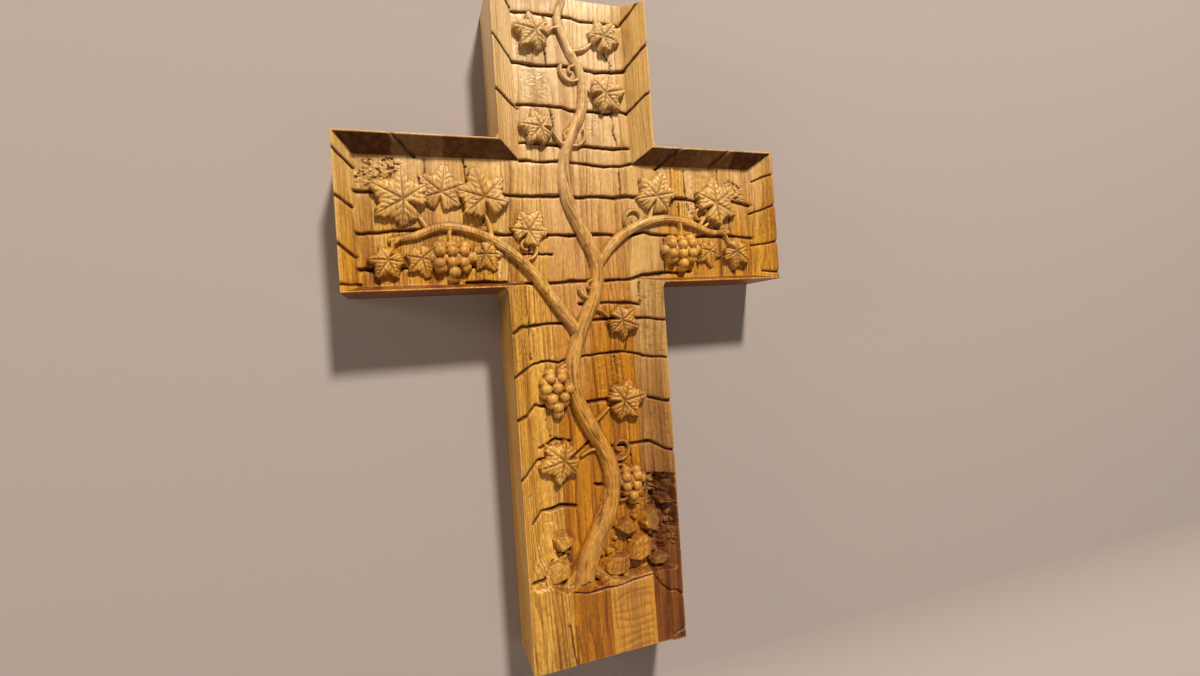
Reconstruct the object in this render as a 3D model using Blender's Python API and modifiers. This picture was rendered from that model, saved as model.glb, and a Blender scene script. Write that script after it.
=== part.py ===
"""A carved wall cross in light oak. Vertical staves are edge-glued into one panel, the panel is cut to
a cross, and its front is sunk into a masonry-lined tray with a climbing grapevine left standing in it.
A keyhole plate is let into the back. The front faces -Y, and the origin is on the back face, where the
wall screw comes to rest in the top of the keyhole's slot."""

import math

import bmesh
import bpy
from mathutils import Matrix, Vector

# The panel's outline.
UPRIGHT_WIDTH = 0.100
ARM_HEIGHT = 0.088
ARM_REACH = 0.090
HEAD_HEIGHT = 0.094
FOOT_HEIGHT = 0.230
THICKNESS = 0.040
SHOULDER_RADIUS = 0.0035

# The staves, from the arms' ends inwards. The inner staves of the arms take what is left.
LEFT_OUTER_STAVE = 0.0315
LEFT_MIDDLE_STAVE = 0.0275
RIGHT_OUTER_STAVE = 0.028
RIGHT_MIDDLE_STAVE = 0.028
LEFT_SHOULDER_OVERLAP = 0.004
RIGHT_SHOULDER_OVERLAP = 0.007
LEFT_CORE_LINE = -0.023
MIDDLE_CORE_LINE = 0.001
RIGHT_CORE_LINE = 0.0305
GLUE_LINE = 0.0003

# The tray: how deep its field lies, and how far each sloping wall runs in over that depth.
FIELD_DEPTH = 0.010
SIDE_WALL_RUN = 0.0135
ARM_TOP_RUN = 0.010
ARM_BOTTOM_RUN = 0.004
LEFT_END_RUN = 0.010
RIGHT_END_RUN = 0.0145

# The stone sill left at the foot, and the shallow worn panel in its face.
SILL_HEIGHT = 0.044
SILL_LEFT_PIER = 0.027
SILL_RIGHT_PIER = 0.010
SILL_WEAR_DEPTH = 0.002

# Carving. The layout is drawn on a template of the panel, in template millimetres, and stretched to it.
TEMPLATE_HALF_WIDTH = 50
TEMPLATE_ARM_REACH = 90
TEMPLATE_ARM_HEIGHT = 88
TEMPLATE_HEAD_HEIGHT = 94
TEMPLATE_FOOT_HEIGHT = 230
JOINT_CUTTER_RADIUS = 0.00078
STEM_RADIUS = 0.0073
STEM_RISE_SHARE = 1.25
STALK_RADIUS = 0.0015
STALK_RISE_SHARE = 2.2
LEAF_REACH = 0.020
LEAF_EDGE_RISE = 0.0035
LEAF_CROWN_RISE = 0.002
LEAF_POINTS = 30
GRAPE_RADIUS = 0.0038
GRAPE_RISE = 0.0061
BOULDER_RADIUS = 0.010
BOULDER_RISE = 0.0073
SEAT_DEPTH = 0.0012
WIDEST_BELOW_FIELD = 0.0008

# The keyhole plate and its two screws.
PLATE_LENGTH = 0.046
PLATE_HEIGHT = 0.022
PLATE_THICKNESS = 0.002
HANG_POINT_ABOVE_ARMS = 0.056
KEYHOLE_RADIUS = 0.0046
KEYHOLE_SLOT_WIDTH = 0.0046
KEYHOLE_DROP = 0.004
KEYHOLE_RISE = 0.005
HEAD_POCKET_WIDTH = 0.012
HEAD_POCKET_DEPTH = 0.008
SCREW_FROM_PLATE_END = 0.007
SCREW_HEAD_RADIUS = 0.0034
SCREW_SHANK_RADIUS = 0.0016
SCREW_LENGTH = 0.014
SCREW_POINT_LENGTH = 0.003
DRIVER_SLOT_WIDTH = 0.0009
DRIVER_SLOT_DEPTH = 0.0008
FIT_CLEARANCE = 0.0003
ROUND_STEPS = 24
OVERCUT = 0.002

HALF_WIDTH = UPRIGHT_WIDTH / 2
HALF_SPAN = HALF_WIDTH + ARM_REACH
ARM_TOP = -HANG_POINT_ABOVE_ARMS
ARM_BOTTOM = ARM_TOP - ARM_HEIGHT
TOP = ARM_TOP + HEAD_HEIGHT
BOTTOM = ARM_BOTTOM - FOOT_HEIGHT
FRONT = -THICKNESS
FIELD = FRONT + FIELD_DEPTH
SILL_TOP = BOTTOM + SILL_HEIGHT
FIELD_LEFT = -HALF_WIDTH + SIDE_WALL_RUN
FIELD_RIGHT = HALF_WIDTH - SIDE_WALL_RUN
ARM_FIELD_LEFT = -HALF_SPAN + LEFT_END_RUN
ARM_FIELD_RIGHT = HALF_SPAN - RIGHT_END_RUN
ARM_FIELD_TOP = ARM_TOP - ARM_TOP_RUN
ARM_FIELD_BOTTOM = ARM_BOTTOM + ARM_BOTTOM_RUN

# Oak tones, one for each stave from left to right, as in the photograph.
OAK_TONES = (
    (0.50, 0.31, 0.13), (0.56, 0.36, 0.16), (0.54, 0.34, 0.15), (0.60, 0.38, 0.16), (0.52, 0.31, 0.12),
    (0.60, 0.39, 0.18), (0.42, 0.23, 0.09), (0.57, 0.36, 0.15), (0.53, 0.33, 0.14), (0.58, 0.37, 0.16),
)
STAVE_NAMES = (
    "left_arm_outer_stave", "left_arm_middle_stave", "left_arm_inner_stave",
    "upright_left_stave", "upright_core_left_stave", "upright_core_right_stave", "upright_right_stave",
    "right_arm_inner_stave", "right_arm_middle_stave", "right_arm_outer_stave",
)


def new_collection(name, hidden):
    collection = bpy.data.collections.new(name)
    bpy.context.scene.collection.children.link(collection)
    collection.hide_render = hidden
    return collection


def clear_scene():
    for obj in list(bpy.data.objects):
        bpy.data.objects.remove(obj, do_unlink=True)


def principled(name, colour, roughness, metallic):
    material = bpy.data.materials.new(name)
    material.use_nodes = True
    shader = material.node_tree.nodes["Principled BSDF"]
    shader.inputs["Base Color"].default_value = (*colour, 1.0)
    shader.inputs["Roughness"].default_value = roughness
    shader.inputs["Metallic"].default_value = metallic
    return material


def place(name, mesh, collection, hidden):
    obj = bpy.data.objects.new(name, mesh)
    collection.objects.link(obj)
    if hidden:
        obj.hide_render = True
        obj.display_type = "WIRE"
    return obj


def from_bmesh(name, bm, collection, hidden=True):
    bmesh.ops.recalc_face_normals(bm, faces=bm.faces)
    mesh = bpy.data.meshes.new(name)
    bm.to_mesh(mesh)
    bm.free()
    return place(name, mesh, collection, hidden)


def baked(obj, name, collection, hidden=True):
    """The object as its modifiers or its curve leave it, as a plain welded mesh in its place."""
    bpy.context.view_layer.update()
    evaluated = obj.evaluated_get(bpy.context.evaluated_depsgraph_get())
    mesh = bpy.data.meshes.new_from_object(evaluated)
    mesh.transform(obj.matrix_world)
    bm = bmesh.new()
    bm.from_mesh(mesh)
    bmesh.ops.remove_doubles(bm, verts=bm.verts, dist=0.0000002)
    bm.to_mesh(mesh)
    bm.free()
    bpy.data.objects.remove(obj, do_unlink=True)
    mesh.name = name
    return place(name, mesh, collection, hidden)


def boolean(obj, operation, target):
    modifier = obj.modifiers.new(operation.lower(), "BOOLEAN")
    modifier.operation = operation
    modifier.solver = "EXACT"
    if isinstance(target, bpy.types.Collection):
        modifier.operand_type = "COLLECTION"
        modifier.collection = target
    else:
        modifier.object = target
    return modifier


def outline_solid(name, points, back, front, collection):
    """A flat outline in X and Z as a filled 2D curve, extruded from the depth back to the depth front."""
    curve = bpy.data.curves.new(name, "CURVE")
    curve.dimensions = "2D"
    curve.fill_mode = "BOTH"
    curve.extrude = abs(back - front) / 2
    spline = curve.splines.new("POLY")
    spline.points.add(len(points) - 1)
    for point, (x, z) in zip(spline.points, points):
        point.co = (x, z, 0.0, 1.0)
    spline.use_cyclic_u = True
    obj = place(name, curve, collection, True)
    obj.rotation_euler = (math.pi / 2, 0.0, 0.0)
    obj.location = (0.0, (back + front) / 2, 0.0)
    return baked(obj, name, collection)


def box(name, low, high, collection):
    bm = bmesh.new()
    bmesh.ops.create_cube(bm, size=1.0)
    for vert in bm.verts:
        vert.co = Vector(l + (c + 0.5) * (h - l) for c, l, h in zip(vert.co, low, high))
    return from_bmesh(name, bm, collection)


def arc(centre, radius, start, end, steps):
    return [
        (centre[0] + radius * math.cos(start + (end - start) * i / steps),
         centre[1] + radius * math.sin(start + (end - start) * i / steps))
        for i in range(steps + 1)
    ]


def cross_outline():
    """The panel's outline, anticlockwise seen from the front, with the four inner corners milled round."""
    r = SHOULDER_RADIUS
    steps = ROUND_STEPS // 4
    quarter = math.pi / 2
    return [
        (-HALF_WIDTH, TOP),
        *arc((-HALF_WIDTH - r, ARM_TOP + r), r, 0.0, -quarter, steps),
        (-HALF_SPAN, ARM_TOP), (-HALF_SPAN, ARM_BOTTOM),
        *arc((-HALF_WIDTH - r, ARM_BOTTOM - r), r, quarter, 0.0, steps),
        (-HALF_WIDTH, BOTTOM), (HALF_WIDTH, BOTTOM),
        *arc((HALF_WIDTH + r, ARM_BOTTOM - r), r, 2 * quarter, quarter, steps),
        (HALF_SPAN, ARM_BOTTOM), (HALF_SPAN, ARM_TOP),
        *arc((HALF_WIDTH + r, ARM_TOP + r), r, 3 * quarter, 2 * quarter, steps),
        (HALF_WIDTH, TOP),
    ]


def tray_cutter(name, rim, runs, depth, collection):
    """A pocket whose walls slope in. rim is (left, right, bottom, top) at the front face, runs is how
    far each of those walls comes in at depth. It starts proud of the front, on the same slopes."""
    left, right, bottom, top = rim
    share = OVERCUT / depth
    bm = bmesh.new()
    bmesh.ops.create_cube(bm, size=2.0)
    for vert in bm.verts:
        at_floor = vert.co.y > 0
        come_in = 1.0 if at_floor else -share
        x = left + runs[0] * come_in if vert.co.x < 0 else right - runs[1] * come_in
        z = bottom + runs[2] * come_in if vert.co.z < 0 else top - runs[3] * come_in
        vert.co = Vector((x, FRONT + depth if at_floor else FRONT - OVERCUT, z))
    return from_bmesh(name, bm, collection)


def cut_tray(cutters):
    tray_cutter(
        "upright_tray", (-HALF_WIDTH, HALF_WIDTH, SILL_TOP, TOP + OVERCUT),
        (SIDE_WALL_RUN, SIDE_WALL_RUN, 0.0, 0.0), FIELD_DEPTH, cutters)
    tray_cutter(
        "arm_tray", (-HALF_SPAN, HALF_SPAN, ARM_BOTTOM, ARM_TOP),
        (LEFT_END_RUN, RIGHT_END_RUN, ARM_BOTTOM_RUN, ARM_TOP_RUN), FIELD_DEPTH, cutters)
    box("sill_wear", (-HALF_WIDTH + SILL_LEFT_PIER, FRONT - OVERCUT, BOTTOM - OVERCUT),
        (HALF_WIDTH - SILL_RIGHT_PIER, FRONT + SILL_WEAR_DEPTH, SILL_TOP + OVERCUT), cutters)


def path_tube(name, points, radii, resolution, collection, rise_share=1.0):
    """A tube along 3D points with its own radius at each, stretched in depth about the field."""
    curve = bpy.data.curves.new(name, "CURVE")
    curve.dimensions = "3D"
    curve.bevel_depth = 1.0
    curve.bevel_resolution = resolution
    curve.use_fill_caps = True
    spline = curve.splines.new("POLY")
    spline.points.add(len(points) - 1)
    for point, co, radius in zip(spline.points, points, radii):
        point.co = (*co, 1.0)
        point.radius = radius
    tube = place(name, curve, collection, True)
    tube.scale = (1.0, rise_share, 1.0)
    tube.location = (0.0, FIELD * (1.0 - rise_share), 0.0)
    return baked(tube, name, collection)


def on_panel(x, z):
    """A spot of the template on the real panel, in X and Z. Template x counts from the upright's middle
    line, and template z from the arms' top edge."""
    side = math.copysign(1.0, x)
    past_edge = max(abs(x) - TEMPLATE_HALF_WIDTH, 0.0)
    across = min(abs(x), TEMPLATE_HALF_WIDTH) * HALF_WIDTH / TEMPLATE_HALF_WIDTH
    across += past_edge * ARM_REACH / TEMPLATE_ARM_REACH
    head = max(z, 0.0) * HEAD_HEIGHT / TEMPLATE_HEAD_HEIGHT
    arms = min(max(z, -TEMPLATE_ARM_HEIGHT), 0.0) * ARM_HEIGHT / TEMPLATE_ARM_HEIGHT
    foot = min(z + TEMPLATE_ARM_HEIGHT, 0.0) * FOOT_HEIGHT / TEMPLATE_FOOT_HEIGHT
    return side * across, ARM_TOP + head + arms + foot


def on_field(spots, sunk=0.0):
    """Template spots as points on the tray's field, or sunk below it."""
    return [Vector((x, FIELD + sunk, z)) for x, z in (on_panel(*spot[:2]) for spot in spots)]


def bed_joints():
    """Level joints of the masonry on the field. None stands for the foot of the wall on that side."""
    return [
        [(None, 82), (None, 81)],
        [(None, 50.5), (17, 48.5), (None, 52)],
        [(None, 24), (24, 22), (None, 24.5)],
        [(None, 1), (None, 0.5)],
        [(None, -10), (25, -11), (None, -9)],
        [(None, -31, "arms"), (55, -31.5), (102, -30.5), (None, -34, "arms")],
        [(None, -54, "arms"), (0, -55), (42, -53.5), (None, -57, "arms")],
        [(None, -74, "arms"), (-60, -72), (None, -70)],
        [(None, -86), (18, -84), (31, -84), (58, -80)],
        [(1, -99), (None, -101)],
        [(None, -111), (15, -110), (None, -110)],
        [(None, -134), (-10, -133), (23, -132), (None, -133.5)],
        [(None, -160), (None, -161)],
        [(None, -192), (8, -190), (None, -191)],
        [(None, -224), (0, -215), (None, -212)],
    ]


def head_joints():
    """Upright joints between the stones of one course."""
    return [
        [(-15.5, 82), (-15.5, 50)], [(26.5, 81), (27, 50)], [(-15, 23), (-14, 1)], [(26, 22), (28.5, 1)],
        [(28.5, -11), (28.5, -31)], [(55, -11), (56, -31)], [(75, -11), (77, -31)], [(101, -11), (103, -31)],
        [(70, -32), (70, -56)], [(108, -33), (108, -56)], [(57, -56), (57, -80)], [(79, -56), (82, -80)],
        [(-93, -11), (-92.5, -31)], [(-112, -54), (-112, -74)], [(26, -110), (24, -132)],
        [(16, -133), (17, -160)],
    ]


def wall_joints():
    """Joints that climb a sloping wall, as heights at the rim and at the wall's foot, where the course on
    the field goes on. They fan out from the crossing, which makes the tray look deeper."""
    upright_right = [(92, 81), (63, 52), (33, 24.5), (-112, -110), (-138, -133.5), (-163, -161), (-196, -191)]
    upright_left = [(62, 50.5), (28, 24), (-116, -111), (-139, -134), (-165, -160), (-200, -192)]
    right_end = [(-17, -18), (-36, -41), (-62.5, -64)]
    left_end = [(-12, -18), (-38, -40), (-64, -68)]
    walls = [
        (upright_right, HALF_WIDTH, FIELD_RIGHT), (upright_left, -HALF_WIDTH, FIELD_LEFT),
        (right_end, HALF_SPAN, ARM_FIELD_RIGHT), (left_end, -HALF_SPAN, ARM_FIELD_LEFT),
    ]
    return [
        [Vector((rim, FRONT, on_panel(0, at_rim)[1])), Vector((foot, FIELD, on_panel(0, at_foot)[1]))]
        for joints, rim, foot in walls for at_rim, at_foot in joints
    ]


def bed_points(joint):
    """A level joint's points, with its open ends taken to the feet of the walls."""
    points = []
    for index, (x, z, *where) in enumerate(joint):
        height = on_panel(0, z)[1]
        if x is None and index == 0:
            across = ARM_FIELD_LEFT if where else FIELD_LEFT
        elif x is None:
            across = ARM_FIELD_RIGHT if where else FIELD_RIGHT
        else:
            across = on_panel(x, z)[0]
        points.append(Vector((across, FIELD, height)))
    return points


def masonry_cutters(collection):
    """V-shaped cuts along every joint, laid just proud of the surface they follow."""
    joints = [bed_points(joint) for joint in bed_joints()]
    joints += [on_field(joint) for joint in head_joints()] + wall_joints()
    proud = Vector((0.0, -JOINT_CUTTER_RADIUS / 5, 0.0))
    for index, joint in enumerate(joints):
        radii = [JOINT_CUTTER_RADIUS] * len(joint)
        path_tube(f"joint_{index}", [point + proud for point in joint], radii, 0, collection)


def vine_stems():
    """The vine's wood: each stem as template (x, z) and its share of the stem's radius, along its way."""
    return {
        "trunk": [
            (-14, -279, 1.00), (-11, -262, 0.94), (-1, -242, 0.86), (8, -221, 0.79), (8, -200, 0.74),
            (-2, -178, 0.71), (-11, -157, 0.69), (-12, -136, 0.66), (-4, -114, 0.64), (6, -94, 0.61),
            (8, -72, 0.59), (0, -52, 0.56), (-8, -33, 0.53), (-9, -12, 0.50), (-2, 8, 0.47), (6, 26, 0.44),
            (6, 46, 0.41), (-2, 63, 0.39), (-7, 79, 0.34), (-3, 90, 0.29),
        ],
        "left_shoot": [
            (-6, -118, 0.54), (-19, -99, 0.50), (-32, -80, 0.47), (-48, -64, 0.44), (-66, -54, 0.41),
            (-84, -51, 0.39), (-100, -56, 0.34), (-113, -59, 0.27),
        ],
        "right_shoot": [
            (8, -76, 0.51), (22, -60, 0.47), (40, -49, 0.44), (58, -45, 0.41), (76, -48, 0.37),
            (92, -54, 0.33), (106, -54, 0.27),
        ],
    }


def stalks():
    """Leaf and fruit stalks, each from a stem to what it carries, on the template."""
    return [
        ((-56, -59), (-62, -40)), ((-92, -53), (-99, -43)), ((-80, -51), (-80, -60)), ((44, -48), (50, -36)),
        ((84, -50), (91, -42)), ((68, -46), (69, -57)), ((6, 36), (14, 34)), ((-7, 74), (-14, 70)),
        ((-6, 0), (-14, 8)), ((3, -102), (14, -108)), ((-12, -140), (-20, -138)), ((-3, -176), (10, -166)),
        ((5, -192), (-10, -194)), ((8, -208), (18, -204)), ((2, 60), (14, 66)), ((-108, -58), (-113, -66)),
        ((100, -54), (106, -62)),
    ]


def leaves():
    """Vine leaves as template (x, z), the middle lobe's share of the reach, its direction in degrees, and
    the leaf's share of the full rise. Low leaves lie under their neighbours."""
    return [
        (-84, -31, 0.86, 80, 0.6), (-34, -53, 0.74, 55, 0.6), (-97, -69, 0.62, 285, 0.6),
        (-61, -67, 0.60, 300, 0.6), (90, -67, 0.58, 280, 0.6),
        (-60, -34, 0.98, 105, 1.0), (-105, -36, 1.00, 150, 1.0), (-115, -70, 0.62, 235, 1.0),
        (52, -31, 0.88, 70, 1.0), (96, -35, 1.00, 35, 1.0), (110, -68, 0.68, -35, 1.0),
        (21, 34, 0.75, 15, 1.0), (-22, 69, 0.73, 165, 1.0), (-23, 10, 0.68, 170, 1.0),
        (22, -111, 0.68, -20, 1.0), (20, -162, 0.83, 10, 1.0), (-22, -195, 0.83, 195, 1.0),
        (22, 70, 0.65, 50, 1.0),
    ]


def bunches():
    """Bunches of grapes, each as its top on the template and the berries in each row, downwards."""
    return [
        ((-80, -62.5), (3, 4, 3, 1)), ((69, -59.5), (3, 4, 3, 1)), ((-23, -141), (2, 3, 3, 2, 1)),
        ((22, -207.5), (2, 3, 2, 1)),
    ]


def boulders():
    """Fallen stones at the vine's foot: template (x, z), and width and height as shares of the radius."""
    return [
        (-31, -262, 0.9, 1.0), (-26, -245, 0.7, 0.8), (8, -265, 1.0, 0.9), (24, -258, 1.0, 1.2),
        (33, -240, 0.7, 1.0), (17, -243, 0.7, 0.7),
    ]


def leaf_reach(angle):
    """Reach of a five-lobed leaf at an angle from its tip, as a share of the middle lobe."""
    lobes = ((0.0, 1.0, 0.50), (1.02, 0.90, 0.46), (2.02, 0.76, 0.50))
    return max(
        length * (0.62 + 0.38 * math.exp(-(((abs(angle) - middle) / width) ** 2) * 2.2))
        for middle, length, width in lobes
    )


def leaf_solid(index, leaf, collection):
    x, z = on_panel(*leaf[:2])
    reach, tip, rise = leaf[2] * LEAF_REACH, leaf[3], leaf[4]
    seat = FIELD + SEAT_DEPTH * (1.0 + 0.05 * index)
    edge = FIELD - LEAF_EDGE_RISE * rise * (1.0 + 0.02 * index)
    bm = bmesh.new()
    corners = []
    for step in range(LEAF_POINTS):
        angle = -math.pi + math.tau * (step + 0.5) / LEAF_POINTS
        r = reach * leaf_reach(angle)
        turn = math.radians(tip) + angle
        corners.append(bm.verts.new((x + r * math.cos(turn), seat, z + r * math.sin(turn))))
    base = bm.faces.new(corners)
    raised = bmesh.ops.extrude_face_region(bm, geom=[base])["geom"]
    for vert in (item for item in raised if isinstance(item, bmesh.types.BMVert)):
        vert.co.y = edge
    crown = [item for item in raised if isinstance(item, bmesh.types.BMFace)]
    middle = bmesh.ops.poke(bm, faces=crown)["verts"][0]
    middle.co = Vector((x, edge - LEAF_CROWN_RISE * rise, z))
    return from_bmesh(f"leaf_{index}", bm, collection)


def berry_places(top, rows):
    """Berry centres of one bunch: rows of berries, each row set into the gaps of the one above."""
    step = 2 * GRAPE_RADIUS * 0.94
    x, z = on_panel(*top)
    for row, count in enumerate(rows):
        for berry in range(count):
            yield x + (berry - (count - 1) / 2) * step, z - row * step * 0.86


def domed_lump(name, centre, half_sizes, turn, squareness, collection):
    """A rounded lump whose widest section lies on the field, so that it has no undercut."""
    bm = bmesh.new()
    bmesh.ops.create_icosphere(bm, subdivisions=2, radius=1.0)
    turned = Matrix.Rotation(turn, 3, "Y") @ Matrix.Rotation(turn / 3, 3, "X")
    bmesh.ops.rotate(bm, verts=bm.verts, matrix=turned)
    for vert in bm.verts:
        squared = [math.copysign(abs(c) ** squareness, c) for c in vert.co]
        vert.co = Vector(at + c * half for at, c, half in zip(centre, squared, half_sizes))
    return from_bmesh(name, bm, collection)


def grape_solids(collection):
    for bunch, (top, rows) in enumerate(bunches()):
        for index, (x, z) in enumerate(berry_places(top, rows)):
            rise = GRAPE_RISE * (1.0 + 0.08 * (index * 5 % 3))
            sunk = WIDEST_BELOW_FIELD * (1.0 + 0.1 * (index % 4))
            half_sizes = (GRAPE_RADIUS, rise, GRAPE_RADIUS)
            name = f"grape_{bunch}_{index}"
            domed_lump(name, (x, FIELD + sunk, z), half_sizes, 0.3 + 0.7 * index, 1.0, collection)


def boulder_solids(collection):
    for index, (x, z, width, height) in enumerate(boulders()):
        centre = on_field([(x, z)], WIDEST_BELOW_FIELD * (1.0 + 0.1 * index))[0]
        half_sizes = (BOULDER_RADIUS * width, BOULDER_RISE, BOULDER_RADIUS * height)
        domed_lump(f"boulder_{index}", centre, half_sizes, 0.4 + 0.9 * index, 0.8, collection)


def vine_solids(collection):
    for name, stem in vine_stems().items():
        radii = [STEM_RADIUS * share for _, _, share in stem]
        path_tube(name, on_field(stem, WIDEST_BELOW_FIELD), radii, 1, collection, STEM_RISE_SHARE)
    for index, ends in enumerate(stalks()):
        radii = [STALK_RADIUS, STALK_RADIUS * 0.85]
        way = on_field(ends, WIDEST_BELOW_FIELD * 0.9)
        path_tube(f"stalk_{index}", way, radii, 0, collection, STALK_RISE_SHARE)
    for index, leaf in enumerate(leaves()):
        leaf_solid(index, leaf, collection)
    grape_solids(collection)
    boulder_solids(collection)


def plate_height(offset):
    """A height counted from the plate's middle, which hangs below the top of its own slot."""
    return offset - KEYHOLE_RISE


def stadium(half_length, radius, centre_x, centre_z, upright=False):
    """An outline with round ends, lying along X, or along Z if upright."""
    steps = ROUND_STEPS // 2
    straight = half_length - radius
    quarter = math.pi / 2
    points = [(straight + u, v) for u, v in arc((0.0, 0.0), radius, -quarter, quarter, steps)]
    points += [(u - straight, v) for u, v in arc((0.0, 0.0), radius, quarter, 3 * quarter, steps)]
    return [(centre_x + (v if upright else u), centre_z + (-u if upright else v)) for u, v in points]


def keyhole_outline():
    """A round hole with a slot of even width running up from it, one closed outline."""
    half_slot = KEYHOLE_SLOT_WIDTH / 2
    hole_z, slot_z = plate_height(-KEYHOLE_DROP), plate_height(KEYHOLE_RISE)
    open_angle = math.asin(half_slot / KEYHOLE_RADIUS)
    quarter = math.pi / 2
    hole = arc((0.0, hole_z), KEYHOLE_RADIUS, quarter + open_angle, 5 * quarter - open_angle, ROUND_STEPS)
    slot_end = arc((0.0, slot_z), half_slot, 0.0, 2 * quarter, ROUND_STEPS // 2)
    return hole + slot_end


def screw_profile(grown):
    """Half a countersunk screw, from the head's edge down to its point, grown outwards by a clearance."""
    head_depth = SCREW_HEAD_RADIUS - SCREW_SHANK_RADIUS
    return [
        (0.0, 0.0), (SCREW_HEAD_RADIUS + grown, 0.0), (SCREW_SHANK_RADIUS + grown, head_depth),
        (SCREW_SHANK_RADIUS + grown, SCREW_LENGTH - SCREW_POINT_LENGTH), (0.0, SCREW_LENGTH + grown),
    ]


def turned_screw(name, x, grown, collection, proud=0.0):
    """The profile spun about an axis along Y, its head flush with the back face, its point inwards."""
    mesh = bpy.data.meshes.new(name)
    profile = screw_profile(grown)
    if proud:
        profile = [(0.0, -proud), (SCREW_HEAD_RADIUS + grown + proud, -proud)] + profile[2:]
    points = [(r, -depth, 0.0) for r, depth in profile]
    mesh.from_pydata(points, [(i, i + 1) for i in range(len(profile) - 1)], [])
    obj = place(name, mesh, collection, True)
    spin = obj.modifiers.new("spin", "SCREW")
    spin.axis = "Y"
    spin.steps = spin.render_steps = ROUND_STEPS
    spin.use_merge_vertices = True
    spin.merge_threshold = 0.00005
    obj.location = (x, 0.0, plate_height(0.0))
    made = baked(obj, name, collection)
    bm = bmesh.new()
    bm.from_mesh(made.data)
    bmesh.ops.recalc_face_normals(bm, faces=bm.faces)
    bm.to_mesh(made.data)
    bm.free()
    return made


def screw_places():
    out_from_middle = PLATE_LENGTH / 2 - SCREW_FROM_PLATE_END
    return {"hanger_screw_left": -out_from_middle, "hanger_screw_right": out_from_middle}


def back_cutters(collection):
    """What is routed and drilled from the back: the plate's bed, the pocket for the wall screw's head,
    and the two screw holes."""
    half_height = PLATE_HEIGHT / 2
    bed = stadium(PLATE_LENGTH / 2 + FIT_CLEARANCE, half_height + FIT_CLEARANCE, 0.0, plate_height(0.0))
    outline_solid("plate_bed", bed, OVERCUT, -PLATE_THICKNESS - FIT_CLEARANCE, collection)
    reach_up = KEYHOLE_RISE + HEAD_POCKET_WIDTH / 2
    reach_down = KEYHOLE_DROP + HEAD_POCKET_WIDTH / 2
    middle = plate_height((reach_up - reach_down) / 2)
    pocket = stadium((reach_up + reach_down) / 2, HEAD_POCKET_WIDTH / 2, 0.0, middle, upright=True)
    outline_solid(
        "head_pocket", pocket, -PLATE_THICKNESS, -PLATE_THICKNESS - HEAD_POCKET_DEPTH, collection)
    for name, x in screw_places().items():
        turned_screw(f"{name}_hole", x, FIT_CLEARANCE, collection)


def carved_panel(hidden):
    """The whole cross before it is divided into its staves."""
    tray, joints, vine, back = (new_collection(name, True) for name in ("tray", "joints", "vine", "back"))
    panel = outline_solid("panel", cross_outline(), 0.0, FRONT, hidden)
    cut_tray(tray)
    masonry_cutters(joints)
    vine_solids(vine)
    back_cutters(back)
    steps = (("DIFFERENCE", tray), ("DIFFERENCE", joints), ("UNION", vine), ("DIFFERENCE", back))
    for operation, target in steps:
        boolean(panel, operation, target)
        panel = baked(panel, "panel", hidden)
    return panel


def glue_lines():
    """Where the staves meet, from left to right."""
    return [
        -HALF_SPAN + LEFT_OUTER_STAVE, -HALF_SPAN + LEFT_OUTER_STAVE + LEFT_MIDDLE_STAVE,
        -HALF_WIDTH - LEFT_SHOULDER_OVERLAP, LEFT_CORE_LINE, MIDDLE_CORE_LINE, RIGHT_CORE_LINE,
        HALF_WIDTH + RIGHT_SHOULDER_OVERLAP,
        HALF_SPAN - RIGHT_OUTER_STAVE - RIGHT_MIDDLE_STAVE, HALF_SPAN - RIGHT_OUTER_STAVE,
    ]


def sawn_off(bm, x, keep):
    """Cuts the body at x, keeps the side that keep (1 or -1) points to, and closes the sawn face."""
    everything = bm.verts[:] + bm.edges[:] + bm.faces[:]
    cut = bmesh.ops.bisect_plane(
        bm, geom=everything, dist=0.0000001, plane_co=(x, 0.0, 0.0), plane_no=(keep, 0.0, 0.0),
        clear_inner=True)
    edges = [item for item in cut["geom_cut"] if isinstance(item, bmesh.types.BMEdge)]
    bmesh.ops.edgeloop_fill(bm, edges=edges)


def make_staves(panel, parts):
    """Divides the panel along its glue lines. Each line takes half its width from the staves beside it."""
    lines = glue_lines()
    for index, (name, tone) in enumerate(zip(STAVE_NAMES, OAK_TONES)):
        bm = bmesh.new()
        bm.from_mesh(panel.data)
        if index > 0:
            sawn_off(bm, lines[index - 1] + GLUE_LINE / 2, 1)
        if index < len(lines):
            sawn_off(bm, lines[index] - GLUE_LINE / 2, -1)
        stave = from_bmesh(name, bm, parts, hidden=False)
        stave.data.materials.append(principled(name, tone, 0.55, 0.0))


def make_plate(parts, hidden):
    outline = stadium(PLATE_LENGTH / 2, PLATE_HEIGHT / 2, 0.0, plate_height(0.0))
    plate = outline_solid("plate_blank", outline, 0.0, -PLATE_THICKNESS, hidden)
    keyhole = outline_solid("keyhole_cutter", keyhole_outline(), OVERCUT, -PLATE_THICKNESS - OVERCUT, hidden)
    boolean(plate, "DIFFERENCE", keyhole)
    for name, x in screw_places().items():
        sink = turned_screw(f"{name}_sink", x, FIT_CLEARANCE, hidden, proud=OVERCUT / 4)
        boolean(plate, "DIFFERENCE", sink)
    plate = baked(plate, "keyhole_plate", parts, hidden=False)
    plate.data.materials.append(principled("zinc_plate", (0.62, 0.62, 0.60), 0.35, 1.0))


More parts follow.
